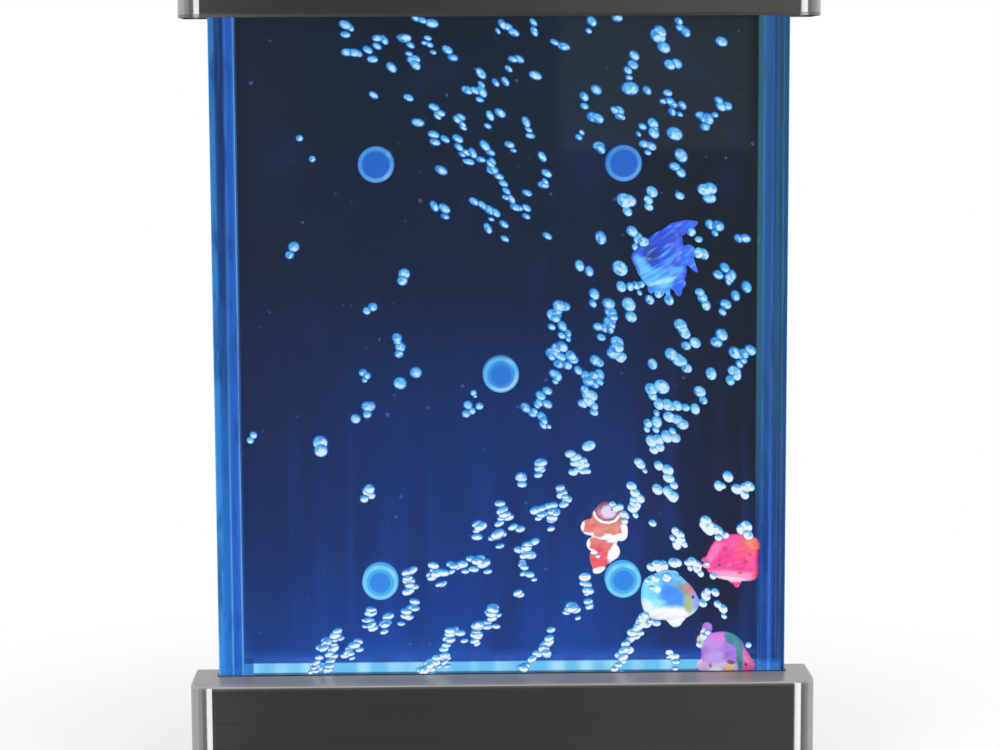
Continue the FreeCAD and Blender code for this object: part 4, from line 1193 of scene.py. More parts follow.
def blue_fish() -> Fish:
    """Give the deep blue fish that faces left.

    Returns:
        The fish, not yet built.
    """
    lobes = (
        Lobe(
            (-5, 1),
            ((-33.5, 5.5), (-27, 13), (-17.5, 22), (-9, 28), (0, 31.5), (9, 31), (15, 25), (17, 15),
             (18, 5), (20, -5), (19.5, -13), (16, -22), (8, -26.5), (-3, -28), (-12, -27), (-18.5, -23),
             (-25, -14.5), (-30, -4.5)),
            5.0,
        ),
        Lobe(
            (12, 31),
            ((-6, 26), (1, 33.5), (12, 38), (23, 39), (31, 37.5), (28, 33), (20, 27), (10, 22)),
            1.8, 0, 11,
        ),
        Lobe(
            (22, 5),
            ((14, 10), (21, 16), (27, 13), (27, 4), (28, -2), (31, -11), (22, -5), (15, -2)),
            1.6, 0, 9,
        ),
        Lobe((11, -25), ((3, -22), (12, -17), (19, -20), (16, -27), (13, -34), (8, -28.5)), 1.5, 0, 7),
        Lobe(
            (-1, -28),
            ((-6, -23), (5, -23), (4, -28), (2.5, -34), (-1, -30), (-3, -33.5), (-5, -29)),
            1.4, 0, 5,
        ),
        Lobe(
            (-11, -27),
            ((-16, -22), (-6, -22), (-7, -28), (-9, -33), (-11.5, -29), (-14.5, -31)),
            1.3, 0, 5,
        ),
        *both_sides((4, -6), ((-5, -2), (4, 1), (15, -3), (12, -10), (0, -12)), 1.2, 4.1),
    )
    patches = (
        Patch(-4, 20, 22, 12, srgb(12, 62, 200), 30, 0.9),
        Patch(-9, -17, 21, 9, srgb(76, 176, 244), -12, 0.9),
        Patch(-22, -4, 11, 5, srgb(84, 180, 244), -52, 0.9),
        Patch(6, -9, 12, 3.4, srgb(66, 156, 248), 8, 0.8),
        Patch(-2, -19, 17, 2.2, srgb(150, 214, 250), 14, 0.8),
        Patch(5, 4, 13, 1.8, srgb(48, 122, 242), 33, 0.9),
        Patch(0, 9, 13, 1.6, srgb(44, 112, 240), 42, 0.9),
        Patch(-14, 7, 8, 9, srgb(8, 38, 150), 0, 1.0),
        Patch(14, 33, 16, 4, srgb(20, 82, 230), 10, 0.8),
        Patch(24, 2, 8, 16, srgb(22, 100, 240), 0, 0.7),
        Patch(14, -22, 7, 9, srgb(16, 82, 228), 0, 0.8),
        Patch(-4, -31, 12, 5, srgb(68, 166, 246), 0, 0.8),
    )
    return Fish(
        "blue", lobes, (-14.5, 6), 2.0, srgb(12, 72, 216), patches, 3.9, srgb(30, 52, 160),
        stroke=0.36, stroke_turn=32.0,
    )


def orange_fish() -> Fish:
    """Give the orange banded fish with its nose up.

    Returns:
        The fish, not yet built.
    """
    lobes = (
        Lobe(
            (4, 8),
            ((2, 36), (9, 34.5), (15.5, 29.5), (19, 21), (18.5, 13), (20, 5), (18.5, -1), (14.5, -5),
             (16, -11), (10, -16), (2, -17), (-5, -13), (-9, -7), (-8.5, -1), (-10.5, 5), (-9, 13),
             (-10, 21), (-6.5, 29), (-2, 34)),
            5.2,
        ),
        Lobe(
            (-12, 12),
            ((-4, 20), (-12, 19.5), (-18, 17), (-20.5, 11), (-18, 5.5), (-12, 3), (-4, 4)),
            2.0, -1.6, 9,
        ),
        Lobe((19, 8), ((13, 20), (19, 20.5), (23.5, 14), (25, 6), (24, 0), (19, -3), (13, -1)), 2.0, -1.6, 9),
        Lobe((-9, -6), ((-4, 1), (-11, 1), (-14.5, -3), (-14, -9), (-9, -13), (-3, -12)), 1.9, -1.0, 9),
        Lobe((11, -14), ((7, -5), (15, -7), (17.5, -12), (13, -21), (7, -23), (4, -12)), 1.8, -1.0, 9),
        Lobe((6, -23), ((3, -20), (8, -19.6), (9.6, -22.4), (6.8, -25.6), (2.6, -26.2)), 1.4, 0, 5),
        Lobe(
            (-3, -22),
            ((3, -10), (-6, -9), (-11, -14), (-11.5, -22), (-9, -29), (-8, -34.5), (2.5, -31.5),
             (4, -24), (6, -15)),
            2.0, -0.4, 9,
        ),
    )
    white = srgb(244, 242, 250)
    red = srgb(240, 68, 52)
    patches = (
        Patch(-3, -20, 9, 13, red, 14, 0.35),
        Patch(7, -24, 5, 4, srgb(216, 74, 66), 0, 0.4),
        Patch(8, 14, 14, 7, srgb(214, 122, 84), 0, 0.9),
        Patch(2, 34, 7, 7, srgb(140, 70, 78), -10, 0.5),
        Patch(6, 26.5, 7, 6, srgb(214, 200, 232), -8, 0.5),
        Patch(5, 28, 10.4, 9.4, srgb(84, 76, 128), -8, 0.3, 0.1),
        Patch(5, 28.5, 13.6, 12.6, white, -8, 0.3, 0.12),
        Patch(2, 2.5, 14, 3.2, white, -10, 0.5),
        Patch(14, 0.5, 10, 3.6, white, 16, 0.5),
        Patch(-3, 7, 6, 5.4, srgb(230, 124, 96), 0, 0.5),
        Patch(12, -14, 5.4, 11, white, -20, 0.45),
        Patch(-3, -32.5, 9, 4, white, 14, 0.45),
        Patch(-20, 11, 2.6, 9, white, -12, 0.5),
        Patch(-14, 3.6, 7, 2.2, white, -14, 0.5),
        Patch(23, 5, 4, 13, white, 8, 0.5),
        Patch(20, -2, 7, 3.4, white, 12, 0.5),
        Patch(-14, -4, 2.6, 7, white, 6, 0.5),
        Patch(-10, -12.5, 6, 2.4, white, -20, 0.5),
    )
    return Fish("orange", lobes, (9.5, 28.5), 1.5, srgb(230, 116, 90), patches, 3.6)


def pale_fish() -> Fish:
    """Give the round pale blue fish with a white belly, facing right.

    Returns:
        The fish, not yet built.
    """
    lobes = (
        Lobe(
            (0, 2),
            ((-28, 6), (-27, 14), (-23, 21), (-14, 25), (0, 26.5), (10, 23), (16, 17.5), (22, 11.5),
             (26.5, 4), (29.5, -4), (27, -11), (21, -16.5), (14, -20), (4, -21.5), (-6, -21),
             (-14, -20.5), (-22.5, -16), (-27, -6)),
            5.4,
        ),
        Lobe((-6, 24), ((-18, 20), (-10, 26.5), (0, 28.5), (9, 25), (4, 20)), 1.6, 0, 9),
        Lobe(
            (6, -21),
            ((-5, -17), (-1.5, -23), (2, -27), (6, -28.4), (10, -27), (13, -23), (16, -17), (6, -14)),
            2.4, 0, 5,
        ),
        *both_sides((-7, -8), ((2, -4), (-4, -2), (-13, -5), (-16, -11), (-6, -13)), 1.2, 4.4),
    )
    patches = (
        Patch(-20, 8, 11, 17, srgb(120, 216, 242), 0, 0.9),
        Patch(3, 6, 14, 12, srgb(58, 136, 250), -14, 0.8),
        Patch(-16, -4, 10, 4, srgb(150, 226, 246), 10, 0.9),
        Patch(4, 17, 11, 4, srgb(92, 168, 222), -20, 0.9),
        Patch(0, -18, 34, 10.5, srgb(252, 254, 255), -2, 0.6),
        Patch(-24, -8, 7, 8, srgb(226, 248, 252), 0, 0.9),
        Patch(14, 9, 3.4, 11, srgb(118, 150, 128), 38, 0.9),
        Patch(19, 9, 4.2, 7.4, srgb(196, 112, 92), 44, 0.7),
        Patch(18, -5, 4.4, 9, srgb(164, 178, 108), 12, 0.9),
        Patch(26, 0, 3.6, 8, srgb(150, 150, 226), 22, 0.8),
        # Painted highlight: a small white glint on the upper left of the body.
        Patch(-12, 10, 3, 3.4, srgb(236, 250, 252), 0, 0.8),
        Patch(-18, 17, 4, 2.6, srgb(170, 236, 250), 30, 0.8),
    )
    return Fish("pale", lobes, (22.5, 2), 1.3, srgb(100, 190, 242), patches, 2.8, srgb(60, 50, 110))


def red_fish() -> Fish:
    """Give the hot pink fish with small dark spots, facing left.

    Returns:
        The fish, not yet built.
    """
    lobes = (
        Lobe(
            (2, 4),
            ((-26, 2), (-24, 9), (-20.5, 16.5), (-13, 24.5), (-3, 27.2), (9, 27), (18, 24.5), (24, 20),
             (26, 11), (26, 0), (25.8, -12), (22.5, -18), (14, -19.3), (5, -19), (-8, -17.5),
             (-17, -14.5), (-23, -10), (-26, -4)),
            5.4,
        ),
        Lobe((-26, 2), ((-21, 5), (-27, 5), (-30, 2), (-27, -0.5), (-21, 0)), 2.6),
        Lobe((-25.5, -3), ((-20, 0), (-26.5, -0.5), (-29, -3), (-26, -6), (-20, -6)), 2.4),
        Lobe((4, -20), ((-3, -16), (1, -22), (5.5, -25.5), (8, -22), (9, -16)), 1.4, 0, 5),
        Lobe((20, 17), ((12, 22), (20, 25), (26, 20), (26, 12), (17, 12)), 2.0, -1.5, 7),
        *both_sides((11, -5), ((3, -2), (10, 1), (19, -1), (18, -9), (8, -10)), 1.2, 4.4),
    )
    spot = srgb(206, 36, 56)
    warm = srgb(240, 84, 54)
    patches = (
        Patch(-18, 11, 14, 4, srgb(250, 100, 172), 58, 1.0),
        Patch(-4, 22, 12, 6, srgb(250, 60, 140), 0, 1.0),
        Patch(14, 14, 11, 9, srgb(250, 62, 96), -20, 1.0),
        Patch(-2, -13, 24, 5, srgb(254, 150, 196), -4, 0.9),
        Patch(-6, -16.5, 20, 2.6, srgb(254, 226, 236), -4, 0.8),
        Patch(20, 18, 9, 4.6, srgb(250, 112, 52), -28, 0.7),
        Patch(-7, 13.5, 1.9, 1.7, spot, 30, 0.8),
        Patch(8, 17.5, 2.0, 1.6, warm, 10, 0.8),
        Patch(3.6, 6, 1.9, 1.8, warm, -20, 0.8),
        Patch(-3, -1, 1.9, 1.6, warm, 0, 0.8),
        Patch(12.5, 1, 2.0, 1.6, spot, 20, 0.8),
        Patch(7, -10, 2.2, 1.5, warm, 0, 0.8),
        Patch(21, -13, 2.6, 2.2, warm, 0, 0.8),
        Patch(-13, 3, 1.5, 1.4, spot, 0, 0.8),
        Patch(17, 8, 1.7, 1.5, spot, 0, 0.8),
        Patch(-27.5, 2, 4, 3, srgb(226, 44, 110), 0, 0.7),
        Patch(-26.5, -3.4, 4, 2.6, srgb(252, 190, 210), 0, 0.8),
    )
    return Fish("red", lobes, (-13, -1.5), 1.5, srgb(246, 46, 134), patches, 4.0, srgb(190, 40, 92))


def violet_fish() -> Fish:
    """Give the violet fish with a teal band and a pink face, nose down to the right.

    Returns:
        The fish, not yet built.
    """
    lobes = (
        Lobe(
            (0, -2),
            ((-26, 2), (-24.5, 11), (-19, 18), (-10, 20.5), (0, 20.5), (8, 17.5), (14, 11.5), (17.5, 4),
             (23, -5), (28, -13.5), (26, -18), (16, -20.5), (2, -22.5), (-12, -22), (-22, -19),
             (-26.5, -13), (-26, -5)),
            5.2,
        ),
        Lobe(
            (-20, 25),
            ((-25, 25), (-23.5, 29), (-20, 30.2), (-16.5, 29), (-15, 25), (-16, 21), (-20, 19), (-24, 21)),
            3.2,
        ),
        Lobe((-22, 18.5), ((-27, 19), (-25, 23), (-19, 22.5), (-15, 19), (-19, 12)), 2.6),
        Lobe((-26, 12), ((-20, 18), (-28.5, 17), (-30, 11), (-28, 5), (-19, 6)), 1.7, -0.5, 7),
        Lobe((-26, -12), ((-20, -7), (-28.5, -8), (-30.5, -13.5), (-26, -18), (-19, -16)), 1.6, -0.5, 7),
        *both_sides((2, -12), ((-4, -8), (4, -7), (7, -12), (4, -17), (-3, -16)), 1.3, 4.4),
    )
    patches = (
        Patch(-10, -15, 24, 8, srgb(222, 204, 246), 2, 0.9),
        Patch(-14, 10, 10, 8, srgb(196, 138, 230), 0, 0.9),
        Patch(-8, 16, 8, 4, srgb(220, 112, 206), 0, 0.8),
        Patch(-14, -4, 10, 6, srgb(198, 160, 240), 14, 0.9),
        Patch(22, -9, 11, 15, srgb(226, 96, 164), 38, 0.5),
        Patch(5, 15, 9.5, 6.6, srgb(36, 124, 136), -38, 0.5),
        Patch(11.4, -1, 3.4, 17, srgb(32, 126, 136), 3, 0.5),
        Patch(26.5, -9, 1.8, 14, srgb(236, 120, 96), 32, 0.8),
        Patch(-20, 26, 6.5, 6, srgb(178, 112, 214), 0, 0.6),
        Patch(-24, 20, 4.6, 4, srgb(246, 242, 252), 20, 0.7),
        Patch(-28, 11, 4.5, 8, srgb(222, 214, 170), 0, 0.7),
        Patch(1.5, -13.5, 4.4, 4.4, srgb(250, 196, 110), 0, 0.7),
        Patch(3, -8.6, 4.4, 2, srgb(120, 62, 150), -8, 0.8),
        Patch(-12, -17, 6, 3.4, srgb(252, 248, 254), 0, 0.8),
        Patch(-27, -12, 5, 6, srgb(228, 196, 244), 0, 0.7),
        Patch(-17, -12, 1.6, 2.4, srgb(196, 96, 150), 0, 0.8),
    )
    return Fish("violet", lobes, (17.5, -11), 1.5, srgb(172, 112, 224), patches, 3.3, srgb(120, 60, 150))


@dataclass(frozen=True)
class Trail:
    """Bubbles that rose together along a short path, in millimetres from the middle and over the base."""

    count: int
    path: tuple[Point, ...]
    size: float = 4.5

    def at(self, share: float) -> Point:
        """Give the point that lies this share of the way along the path.

        Args:
            share: From 0 at the first point to 1 at the last.

        Returns:
            The point.
        """
        if len(self.path) == 1:
            return self.path[0]
        reach = share * (len(self.path) - 1)
        leg = min(int(reach), len(self.path) - 2)
        start, end = Vector(self.path[leg]), Vector(self.path[leg + 1])
        return tuple(start.lerp(end, reach - leg))


@dataclass
class BubbleField:
    """The bubbles of one part of the tank, in one mesh."""

    name: str
    lean: float
    stretch: float
    trails: tuple[Trail, ...]
    seed: int
    twins: float = 0.35
    scatter: float = 2.2
    growth: Point = (1.18, 1.62)
    sway: float = 24.0
    twin_sway: float = 20.0

    def build(self, water: "Water") -> None:
        """Model the field's bubbles, most of them in twos and threes.

        Args:
            water: What keeps bubbles clear of spacers and fish.
        """
        dice = random.Random(self.seed)
        mesh = bmesh.new()
        for trail in self.trails:
            for number in range(trail.count):
                share = (number + 0.5) / trail.count if trail.count > 1 else 0.5
                x, z = trail.at(share)
                x += dice.uniform(-self.scatter, self.scatter)
                z += dice.uniform(-self.scatter, self.scatter)
                size = trail.size * dice.uniform(*self.growth)
                lean = self.lean + dice.uniform(-self.sway, self.sway)
                water.add_bubble(mesh, x, z, size, lean, self.stretch, dice)
                if dice.random() < self.twins:
                    side = size * dice.uniform(-0.8, 0.8)
                    drop = size * dice.uniform(0.9, 1.5)
                    small = size * dice.uniform(0.6, 0.95)
                    lean = self.lean + dice.uniform(-self.twin_sway, self.twin_sway)
                    water.add_bubble(mesh, x + side, z - drop, small, lean, self.stretch, dice)
        Piece(self.name, "panel", BubbleFilm("bubble film"), "lit_acrylic").finished(mesh)


@dataclass
class Water:
    """The water between the sheets, with room kept for the spacers and the fish."""

    front: float = 11.0
    back: float = 28.0
    half_width: float = 250.5
    lowest: float = -4.0
    strip_top: float = 13.0
    strip_front: float = 25.5
    fish_back: float = 22.7
    spacer_nodes: tuple[str, ...] = Tank.spacers
    lanes: tuple[tuple[str, float, float], ...] = (
        ("fish_blue", 120.0, 35.0),
        ("fish_orange", 3.0, 100.0),
        ("fish_pale", 25.0, 120.0),
        ("fish_red", 15.0, 150.0),
        ("fish_violet", 0.0, 12.0),
    )
    lane_margin: float = 6.5
    most_depth: float = 4.2
    low_depth: float = 3.0
    sheet_gap: float = 0.6
    strip_gap: float = 0.4
    lane_gap: float = 0.3

    def in_lane(self, x: float, z: float, size: float) -> bool:
        """Tell whether a bubble lies where a fish drifts.

        Args:
            x: The bubble's place across, in millimetres.
            z: Its height over the base.
            size: Its half length.

        Returns:
            Whether it does.
        """
        reach = size + self.lane_margin
        for node, down, up in self.lanes:
            low, high = node_box(node)
            beside = low.x - reach < x < high.x + reach
            level = low.z - BASE_TOP - down - reach < z < high.z - BASE_TOP + up + reach
            if beside and level:
                return True
        return False

    def clear_of_spacers(self, x: float, z: float, size: float) -> Point:
        """Move a bubble straight out of a spacer that it would touch.

        Args:
            x: The bubble's place across, in millimetres.
            z: Its height over the base.
            size: Its half length.

        Returns:
            The place to use.
        """
        for place in self.spacer_nodes:
            low, high = node_box("spacer_" + place)
            middle = Vector(((low.x + high.x) * 0.5, (low.z + high.z) * 0.5 - BASE_TOP))
            away = Vector((x, z)) - middle
            least = (high.x - low.x) * 0.5 + size * 1.3
            if away.length < least:
                x, z = middle + away.normalized() * least
        limit = self.half_width - size * 1.4
        return (max(-limit, min(limit, x)), max(self.lowest, z))

    def add_bubble(
        self,
        mesh: bmesh.types.BMesh,
        x: float,
        z: float,
        size: float,
        lean: float,
        stretch: float,
        dice: random.Random,
    ) -> None:
        """Add one bubble, flattened by its rise and leaning with its stream.

        Args:
            mesh: The field's mesh.
            x: The place across, in millimetres.
            z: The height over the base.
            size: The bubble's half length.
            lean: How far its long axis dips to the right, in degrees.
            stretch: Its length over its height.
            dice: The field's own chance.
        """
        x, z = self.clear_of_spacers(x, z, size)
        half_depth = min(size * 0.75, self.most_depth)
        foremost = self.front + self.sheet_gap
        y = dice.uniform(foremost + half_depth, self.back - self.sheet_gap - half_depth)
        over_strip = z < self.strip_top + size * 1.5
        if over_strip:
            half_depth = min(half_depth, self.low_depth)
            y = dice.uniform(foremost + half_depth, self.strip_front - self.strip_gap - half_depth)
        if self.in_lane(x, z, size):
            behind = self.strip_front if over_strip else self.back
            half_depth = min(half_depth, (behind - self.fish_back) * 0.5 - self.lane_gap)
            y = (behind + self.fish_back) * 0.5
        long = size * dice.uniform(0.94, 1.1)
        add_egg(mesh, Vector((x, y, z + BASE_TOP)), (long, half_depth, long / stretch), lean)


@dataclass(frozen=True)
class ClingingBubbles:
    """Bubbles that cling to the near side of a fish and drift with it."""

    fish: str
    places: tuple[tuple[float, float, float], ...]
    seed: int
    ahead: float = 3.5
    half_depth: float = 1.6

    def build(self) -> None:
        """Model the bubbles at their places, each across, up and half length from the fish's middle."""
        low, high = node_box("fish_" + self.fish)
        seat = (low + high) * 0.5
        dice = random.Random(self.seed)
        mesh = bmesh.new()
        for x, z, size in self.places:
            lean = dice.uniform(10.0, 50.0)
            height = size * dice.uniform(0.7, 0.9)
            place = seat + Vector((x, -self.ahead, z))
            add_egg(mesh, place, (size, self.half_depth, height), lean)
        name = "bubbles_on_" + self.fish
        Piece(name, self.fish + "_fish", BubbleFilm("bubble film"), "lit_acrylic").finished(mesh)


@dataclass
class BubbleStreams:
    """All the bubbles: the five streams over the jets and the fields they drift into."""

    water: Water = field(default_factory=Water)
    clinging: tuple[ClingingBubbles, ...] = (
        ClingingBubbles(
            "blue", ((-22, 19, 6.6), (24, 28, 5.2), (31, 21, 4.6), (31, 8, 6.4), (-24, -22, 4.2)), 31,
        ),
        ClingingBubbles(
            "orange",
            ((10, 34, 4.2), (13, 30, 5.0), (17.5, 31, 4.4), (21, 24, 5.0), (22, 17, 4.2), (-4, -17, 3.0)),
            32,
        ),
        ClingingBubbles(
            "pale", ((-22, 19, 3.6), (-14, 21, 5.4), (-3, 22, 5.6), (-18, 12, 3.4), (-24, -15, 4.4)), 33,
        ),
        ClingingBubbles(
            "red", ((-14, 25, 4.6), (-7, 27, 4.2), (15, 27, 6.2), (-19, -13, 4.4), (-25, -1, 3.4)), 34,
        ),
        ClingingBubbles(
            "violet", ((-24, 17, 4.6), (-20, 21, 3.6), (-28, 9, 3.8), (20, 8, 3.8)), 35,
        ),
    )

    def build(self) -> None:
        """Build the fields one by one."""
        for part in (
            self.upper_left(),
            self.upper_middle(),
            self.upper_right(),
            self.blue_side(),
            self.middle(),
            self.right_middle(),
            self.lower_middle(),
            self.lower_left(),
            self.left_sparse(),
        ):
            part.build(self.water)
        for group in self.clinging:
            group.build()

    def upper_left(self) -> BubbleField:
        """Give the loose group under the cap on the left.

        Returns:
            The field, not yet built.
        """
        trails = (
            Trail(2, ((-147, 627), (-141, 621))),
            Trail(2, ((-116, 617), (-108, 610))),
            Trail(3, ((-93, 617), (-85, 605))),
            Trail(3, ((-80, 631), (-62, 627))),
            Trail(2, ((-66, 614), (-66, 602)), 3.8),
            Trail(1, ((-48, 600),)),
            Trail(4, ((-146, 602), (-135, 600), (-124, 602))),
            Trail(2, ((-83, 597), (-80, 584))),
            Trail(1, ((-104, 586),)),
            Trail(1, ((-120, 559),)),
            Trail(1, ((-86, 556),)),
        )
        return BubbleField("bubbles_upper_left", 26.0, 1.6, trails, 11, 0.3)

    def upper_middle(self) -> BubbleField:
        """Give the long slanting band right of the upper left spacer.

        Returns:
            The field, not yet built.
        """
        trails = (
            Trail(2, ((-65, 549), (-54, 542))),
            Trail(1, ((-77, 534),)),
            Trail(10, ((-66, 521), (-42, 516), (-30, 504), (-9, 496), (0, 480))),
            Trail(2, ((-17, 512), (-8, 502))),
            Trail(6, ((0, 480), (12, 455), (28, 450))),
            Trail(5, ((24, 538), (28, 525), (40, 501), (44, 480), (42, 466))),
            Trail(1, ((10, 511),)),
            Trail(1, ((25, 467),)),
            Trail(4, ((-26, 459), (-2, 446))),
            Trail(2, ((-66, 453), (-46, 453))),
            Trail(1, ((-58, 487),)),
            Trail(3, ((10, 441), (-11, 433), (12, 418))),
            Trail(1, ((43, 424),)),
            Trail(2, ((-40, 534), (-34, 541))),
            Trail(2, ((-11, 540), (4, 543))),
            Trail(3, ((-33, 563), (-15, 563))),
            Trail(2, ((-6, 572), (7, 574))),
            Trail(1, ((-17, 581),)),
            Trail(2, ((8, 592), (22, 593))),
            Trail(1, ((34, 577),)),
            Trail(3, ((0, 626), (18, 617))),
            Trail(2, ((30, 630), (34, 615))),
            Trail(2, ((49, 607), (67, 606))),
        )
        return BubbleField("bubbles_upper_middle", 36.0, 1.7, trails, 12, 0.45)

    def upper_right(self) -> BubbleField:
        """Give the crowd round the upper right spacer.

        Returns:
            The field, not yet built.
        """
        trails = (
            Trail(2, ((77, 626), (124, 631))),
            Trail(2, ((148, 610), (155, 622)), 6.0),
            Trail(3, ((169, 629), (176, 616))),
            Trail(1, ((210, 608),), 5.4),
            Trail(3, ((131, 597), (121, 580))),
            Trail(1, ((126, 567),), 6.2),
            Trail(1, ((142, 563),)),
            Trail(2, ((156, 587), (171, 587)), 5.4),
            Trail(4, ((160, 566), (163, 548), (180, 547))),
            Trail(2, ((96, 569), (76, 553))),
            Trail(3, ((111, 548), (113, 537))),
            Trail(2, ((88, 536), (97, 537))),
            Trail(2, ((81, 526), (75, 514)), 3.4),
            Trail(2, ((91, 512), (103, 507))),
            Trail(4, ((134, 528), (148, 530), (146, 520))),
            Trail(1, ((167, 522),), 6.0),
            Trail(2, ((132, 513), (147, 506))),
            Trail(1, ((171, 502),), 7.2),
            Trail(1, ((175, 486),)),
            Trail(3, ((188, 538), (200, 537))),
            Trail(3, ((207, 554), (219, 545))),
            Trail(2, ((145, 468), (141, 456)), 5.0),
            Trail(2, ((118, 457), (126, 460)), 6.0),
            Trail(1, ((173, 462),)),
            Trail(2, ((194, 471), (205, 466)), 5.4),
        )
        return BubbleField("bubbles_upper_right", 30.0, 1.45, trails, 13, 0.45)

    def blue_side(self) -> BubbleField:
        """Give the bubbles about the blue fish and right of it.

        Returns:
            The field, not yet built.
        """
        trails = (
            Trail(1, ((98, 422),), 5.6),
            Trail(2, ((123, 433), (136, 418)), 5.0),
            Trail(2, ((196, 433), (213, 436)), 5.2),
            Trail(2, ((228, 421), (238, 422)), 4.6),
            Trail(1, ((194, 408),), 6.0),
            Trail(4, ((217, 398), (209, 386), (222, 386), (218, 379)), 5.0),
            Trail(3, ((239, 378), (226, 365), (212, 356)), 5.2),
            Trail(3, ((192, 372), (198, 356)), 4.6),
            Trail(3, ((172, 358), (145, 364), (156, 371))),
            Trail(2, ((75, 395), (89, 390)), 5.0),
            Trail(1, ((114, 392),), 6.0),
            Trail(3, ((115, 375), (136, 378))),
            Trail(1, ((89, 369),), 5.4),
            Trail(2, ((174, 340), (176, 331)), 5.0),
            Trail(2, ((178, 316), (192, 322)), 4.6),
            Trail(2, ((215, 330), (208, 320)), 5.0),
            Trail(4, ((223, 314), (234, 308), (244, 313)), 5.0),
            Trail(3, ((226, 296), (228, 285)), 5.2),
            Trail(1, ((205, 291),), 6.2),
            Trail(4, ((184, 295), (173, 303), (164, 314)), 5.0),
            Trail(1, ((145, 298),), 5.0),
        )
        return BubbleField("bubbles_blue_side", 46.0, 1.4, trails, 14, 0.3)

    def middle(self) -> BubbleField:
        """Give the dense stream right of the centre spacer.

        Returns:
            The field, not yet built.
        """
        trails = (
            Trail(6, ((62, 360), (54, 355), (50, 346), (61, 337)), 4.8),
            Trail(2, ((38, 341), (75, 328)), 4.0),
            Trail(6, ((105, 360), (109, 351), (102, 337), (92, 335)), 4.8),
            Trail(1, ((124, 356),), 6.2),
            Trail(3, ((114, 325), (109, 310)), 5.6),
            Trail(3, ((61, 320), (48, 309)), 5.2),
            Trail(2, ((66, 310), (72, 304))),
            Trail(2, ((90, 304), (94, 300)), 5.0),
            Trail(2, ((51, 295), (57, 290))),
            Trail(5, ((79, 290), (86, 284), (100, 294)), 4.8),
            Trail(9, ((48, 278), (34, 268), (46, 261), (22, 261), (37, 251), (44, 248)), 4.2),
            Trail(5, ((80, 273), (91, 267), (80, 262), (96, 261)), 4.4),
        )
        return BubbleField("bubbles_middle", 38.0, 1.4, trails, 15, 0.5)

    def right_middle(self) -> BubbleField:
        """Give the stream that rises over the orange and pale fish.

        Returns:
            The field, not yet built.
        """
        trails = (
            Trail(2, ((141, 275), (162, 277)), 5.6),
            Trail(1, ((195, 273),), 5.2),
            Trail(6, ((153, 258), (162, 261), (173, 259), (191, 257)), 4.8),
            Trail(5, ((139, 243), (155, 245), (168, 248), (179, 238)), 5.2),
            Trail(4, ((144, 224), (155, 228), (173, 226)), 5.0),
            Trail(2, ((132, 204), (135, 198)), 4.6),
            Trail(5, ((152, 205), (162, 197), (164, 178), (165, 168)), 4.8),
            Trail(1, ((150, 178),), 5.2),
            Trail(7, ((126, 183), (134, 170), (128, 160), (122, 152)), 4.4),
            Trail(1, ((148, 146),), 4.4),
            Trail(2, ((175, 133), (171, 122))),
            Trail(2, ((196, 141), (208, 138))),
            Trail(3, ((188, 103), (168, 106), (147, 96)), 4.2),
            Trail(2, ((206, 178), (227, 193)), 4.6),
            Trail(4, ((229, 178), (238, 181), (243, 176)), 4.8),
            Trail(6, ((196, 62), (197, 70), (203, 78), (210, 72), (213, 62), (217, 56)), 4.0),
            Trail(3, ((165, 137), (174, 128), (170, 121)), 4.6),
            Trail(4, ((195, 146), (205, 140), (216, 133)), 4.6),
            Trail(2, ((232, 139), (244, 137)), 5.6),
            Trail(3, ((182, 108), (193, 102), (189, 96)), 4.2),
            Trail(4, ((142, 101), (150, 104), (160, 102), (176, 108)), 4.8),
        )
        return BubbleField("bubbles_right_middle", 46.0, 1.4, trails, 16, 0.4)

    def lower_middle(self) -> BubbleField:
        """Give the streams over the middle jets.

        Returns:
            The field, not yet built.
        """
        trails = (
            Trail(1, ((85, 219),), 4.8),
            Trail(6, ((68, 217), (74, 204), (82, 203)), 4.8),
            Trail(3, ((38, 209), (38, 199)), 4.8),
            Trail(3, ((16, 196), (21, 188)), 4.0),
            Trail(4, ((57, 183), (58, 175), (68, 165)), 4.4),
            Trail(7, ((31, 160), (51, 163), (50, 151)), 4.6),
            Trail(1, ((20, 140),), 4.4),
            Trail(7, ((32, 128), (18, 120), (29, 114)), 4.6),
            Trail(3, ((16, 106), (28, 96)), 4.4),
            Trail(2, ((16, 80), (17, 75)), 5.0),
            Trail(6, ((81, 92), (86, 81), (85, 67), (84, 61)), 4.6),
            Trail(4, ((62, 60), (70, 64), (72, 55)), 4.8),
            Trail(7, ((50, 42), (45, 30), (39, 20), (29, 9)), 4.6),
            Trail(6, ((148, 56), (139, 48), (131, 42)), 4.6),
            Trail(6, ((134, 40), (124, 26), (115, 11)), 4.4),
            Trail(3, ((18, 1), (25, 7)), 4.2),
            Trail(2, ((111, 2), (112, 8)), 3.8),
            Trail(4, ((172, 3), (164, 19)), 3.6),
        )
        return BubbleField("bubbles_lower_middle", -8.0, 1.5, trails, 17, 0.6)

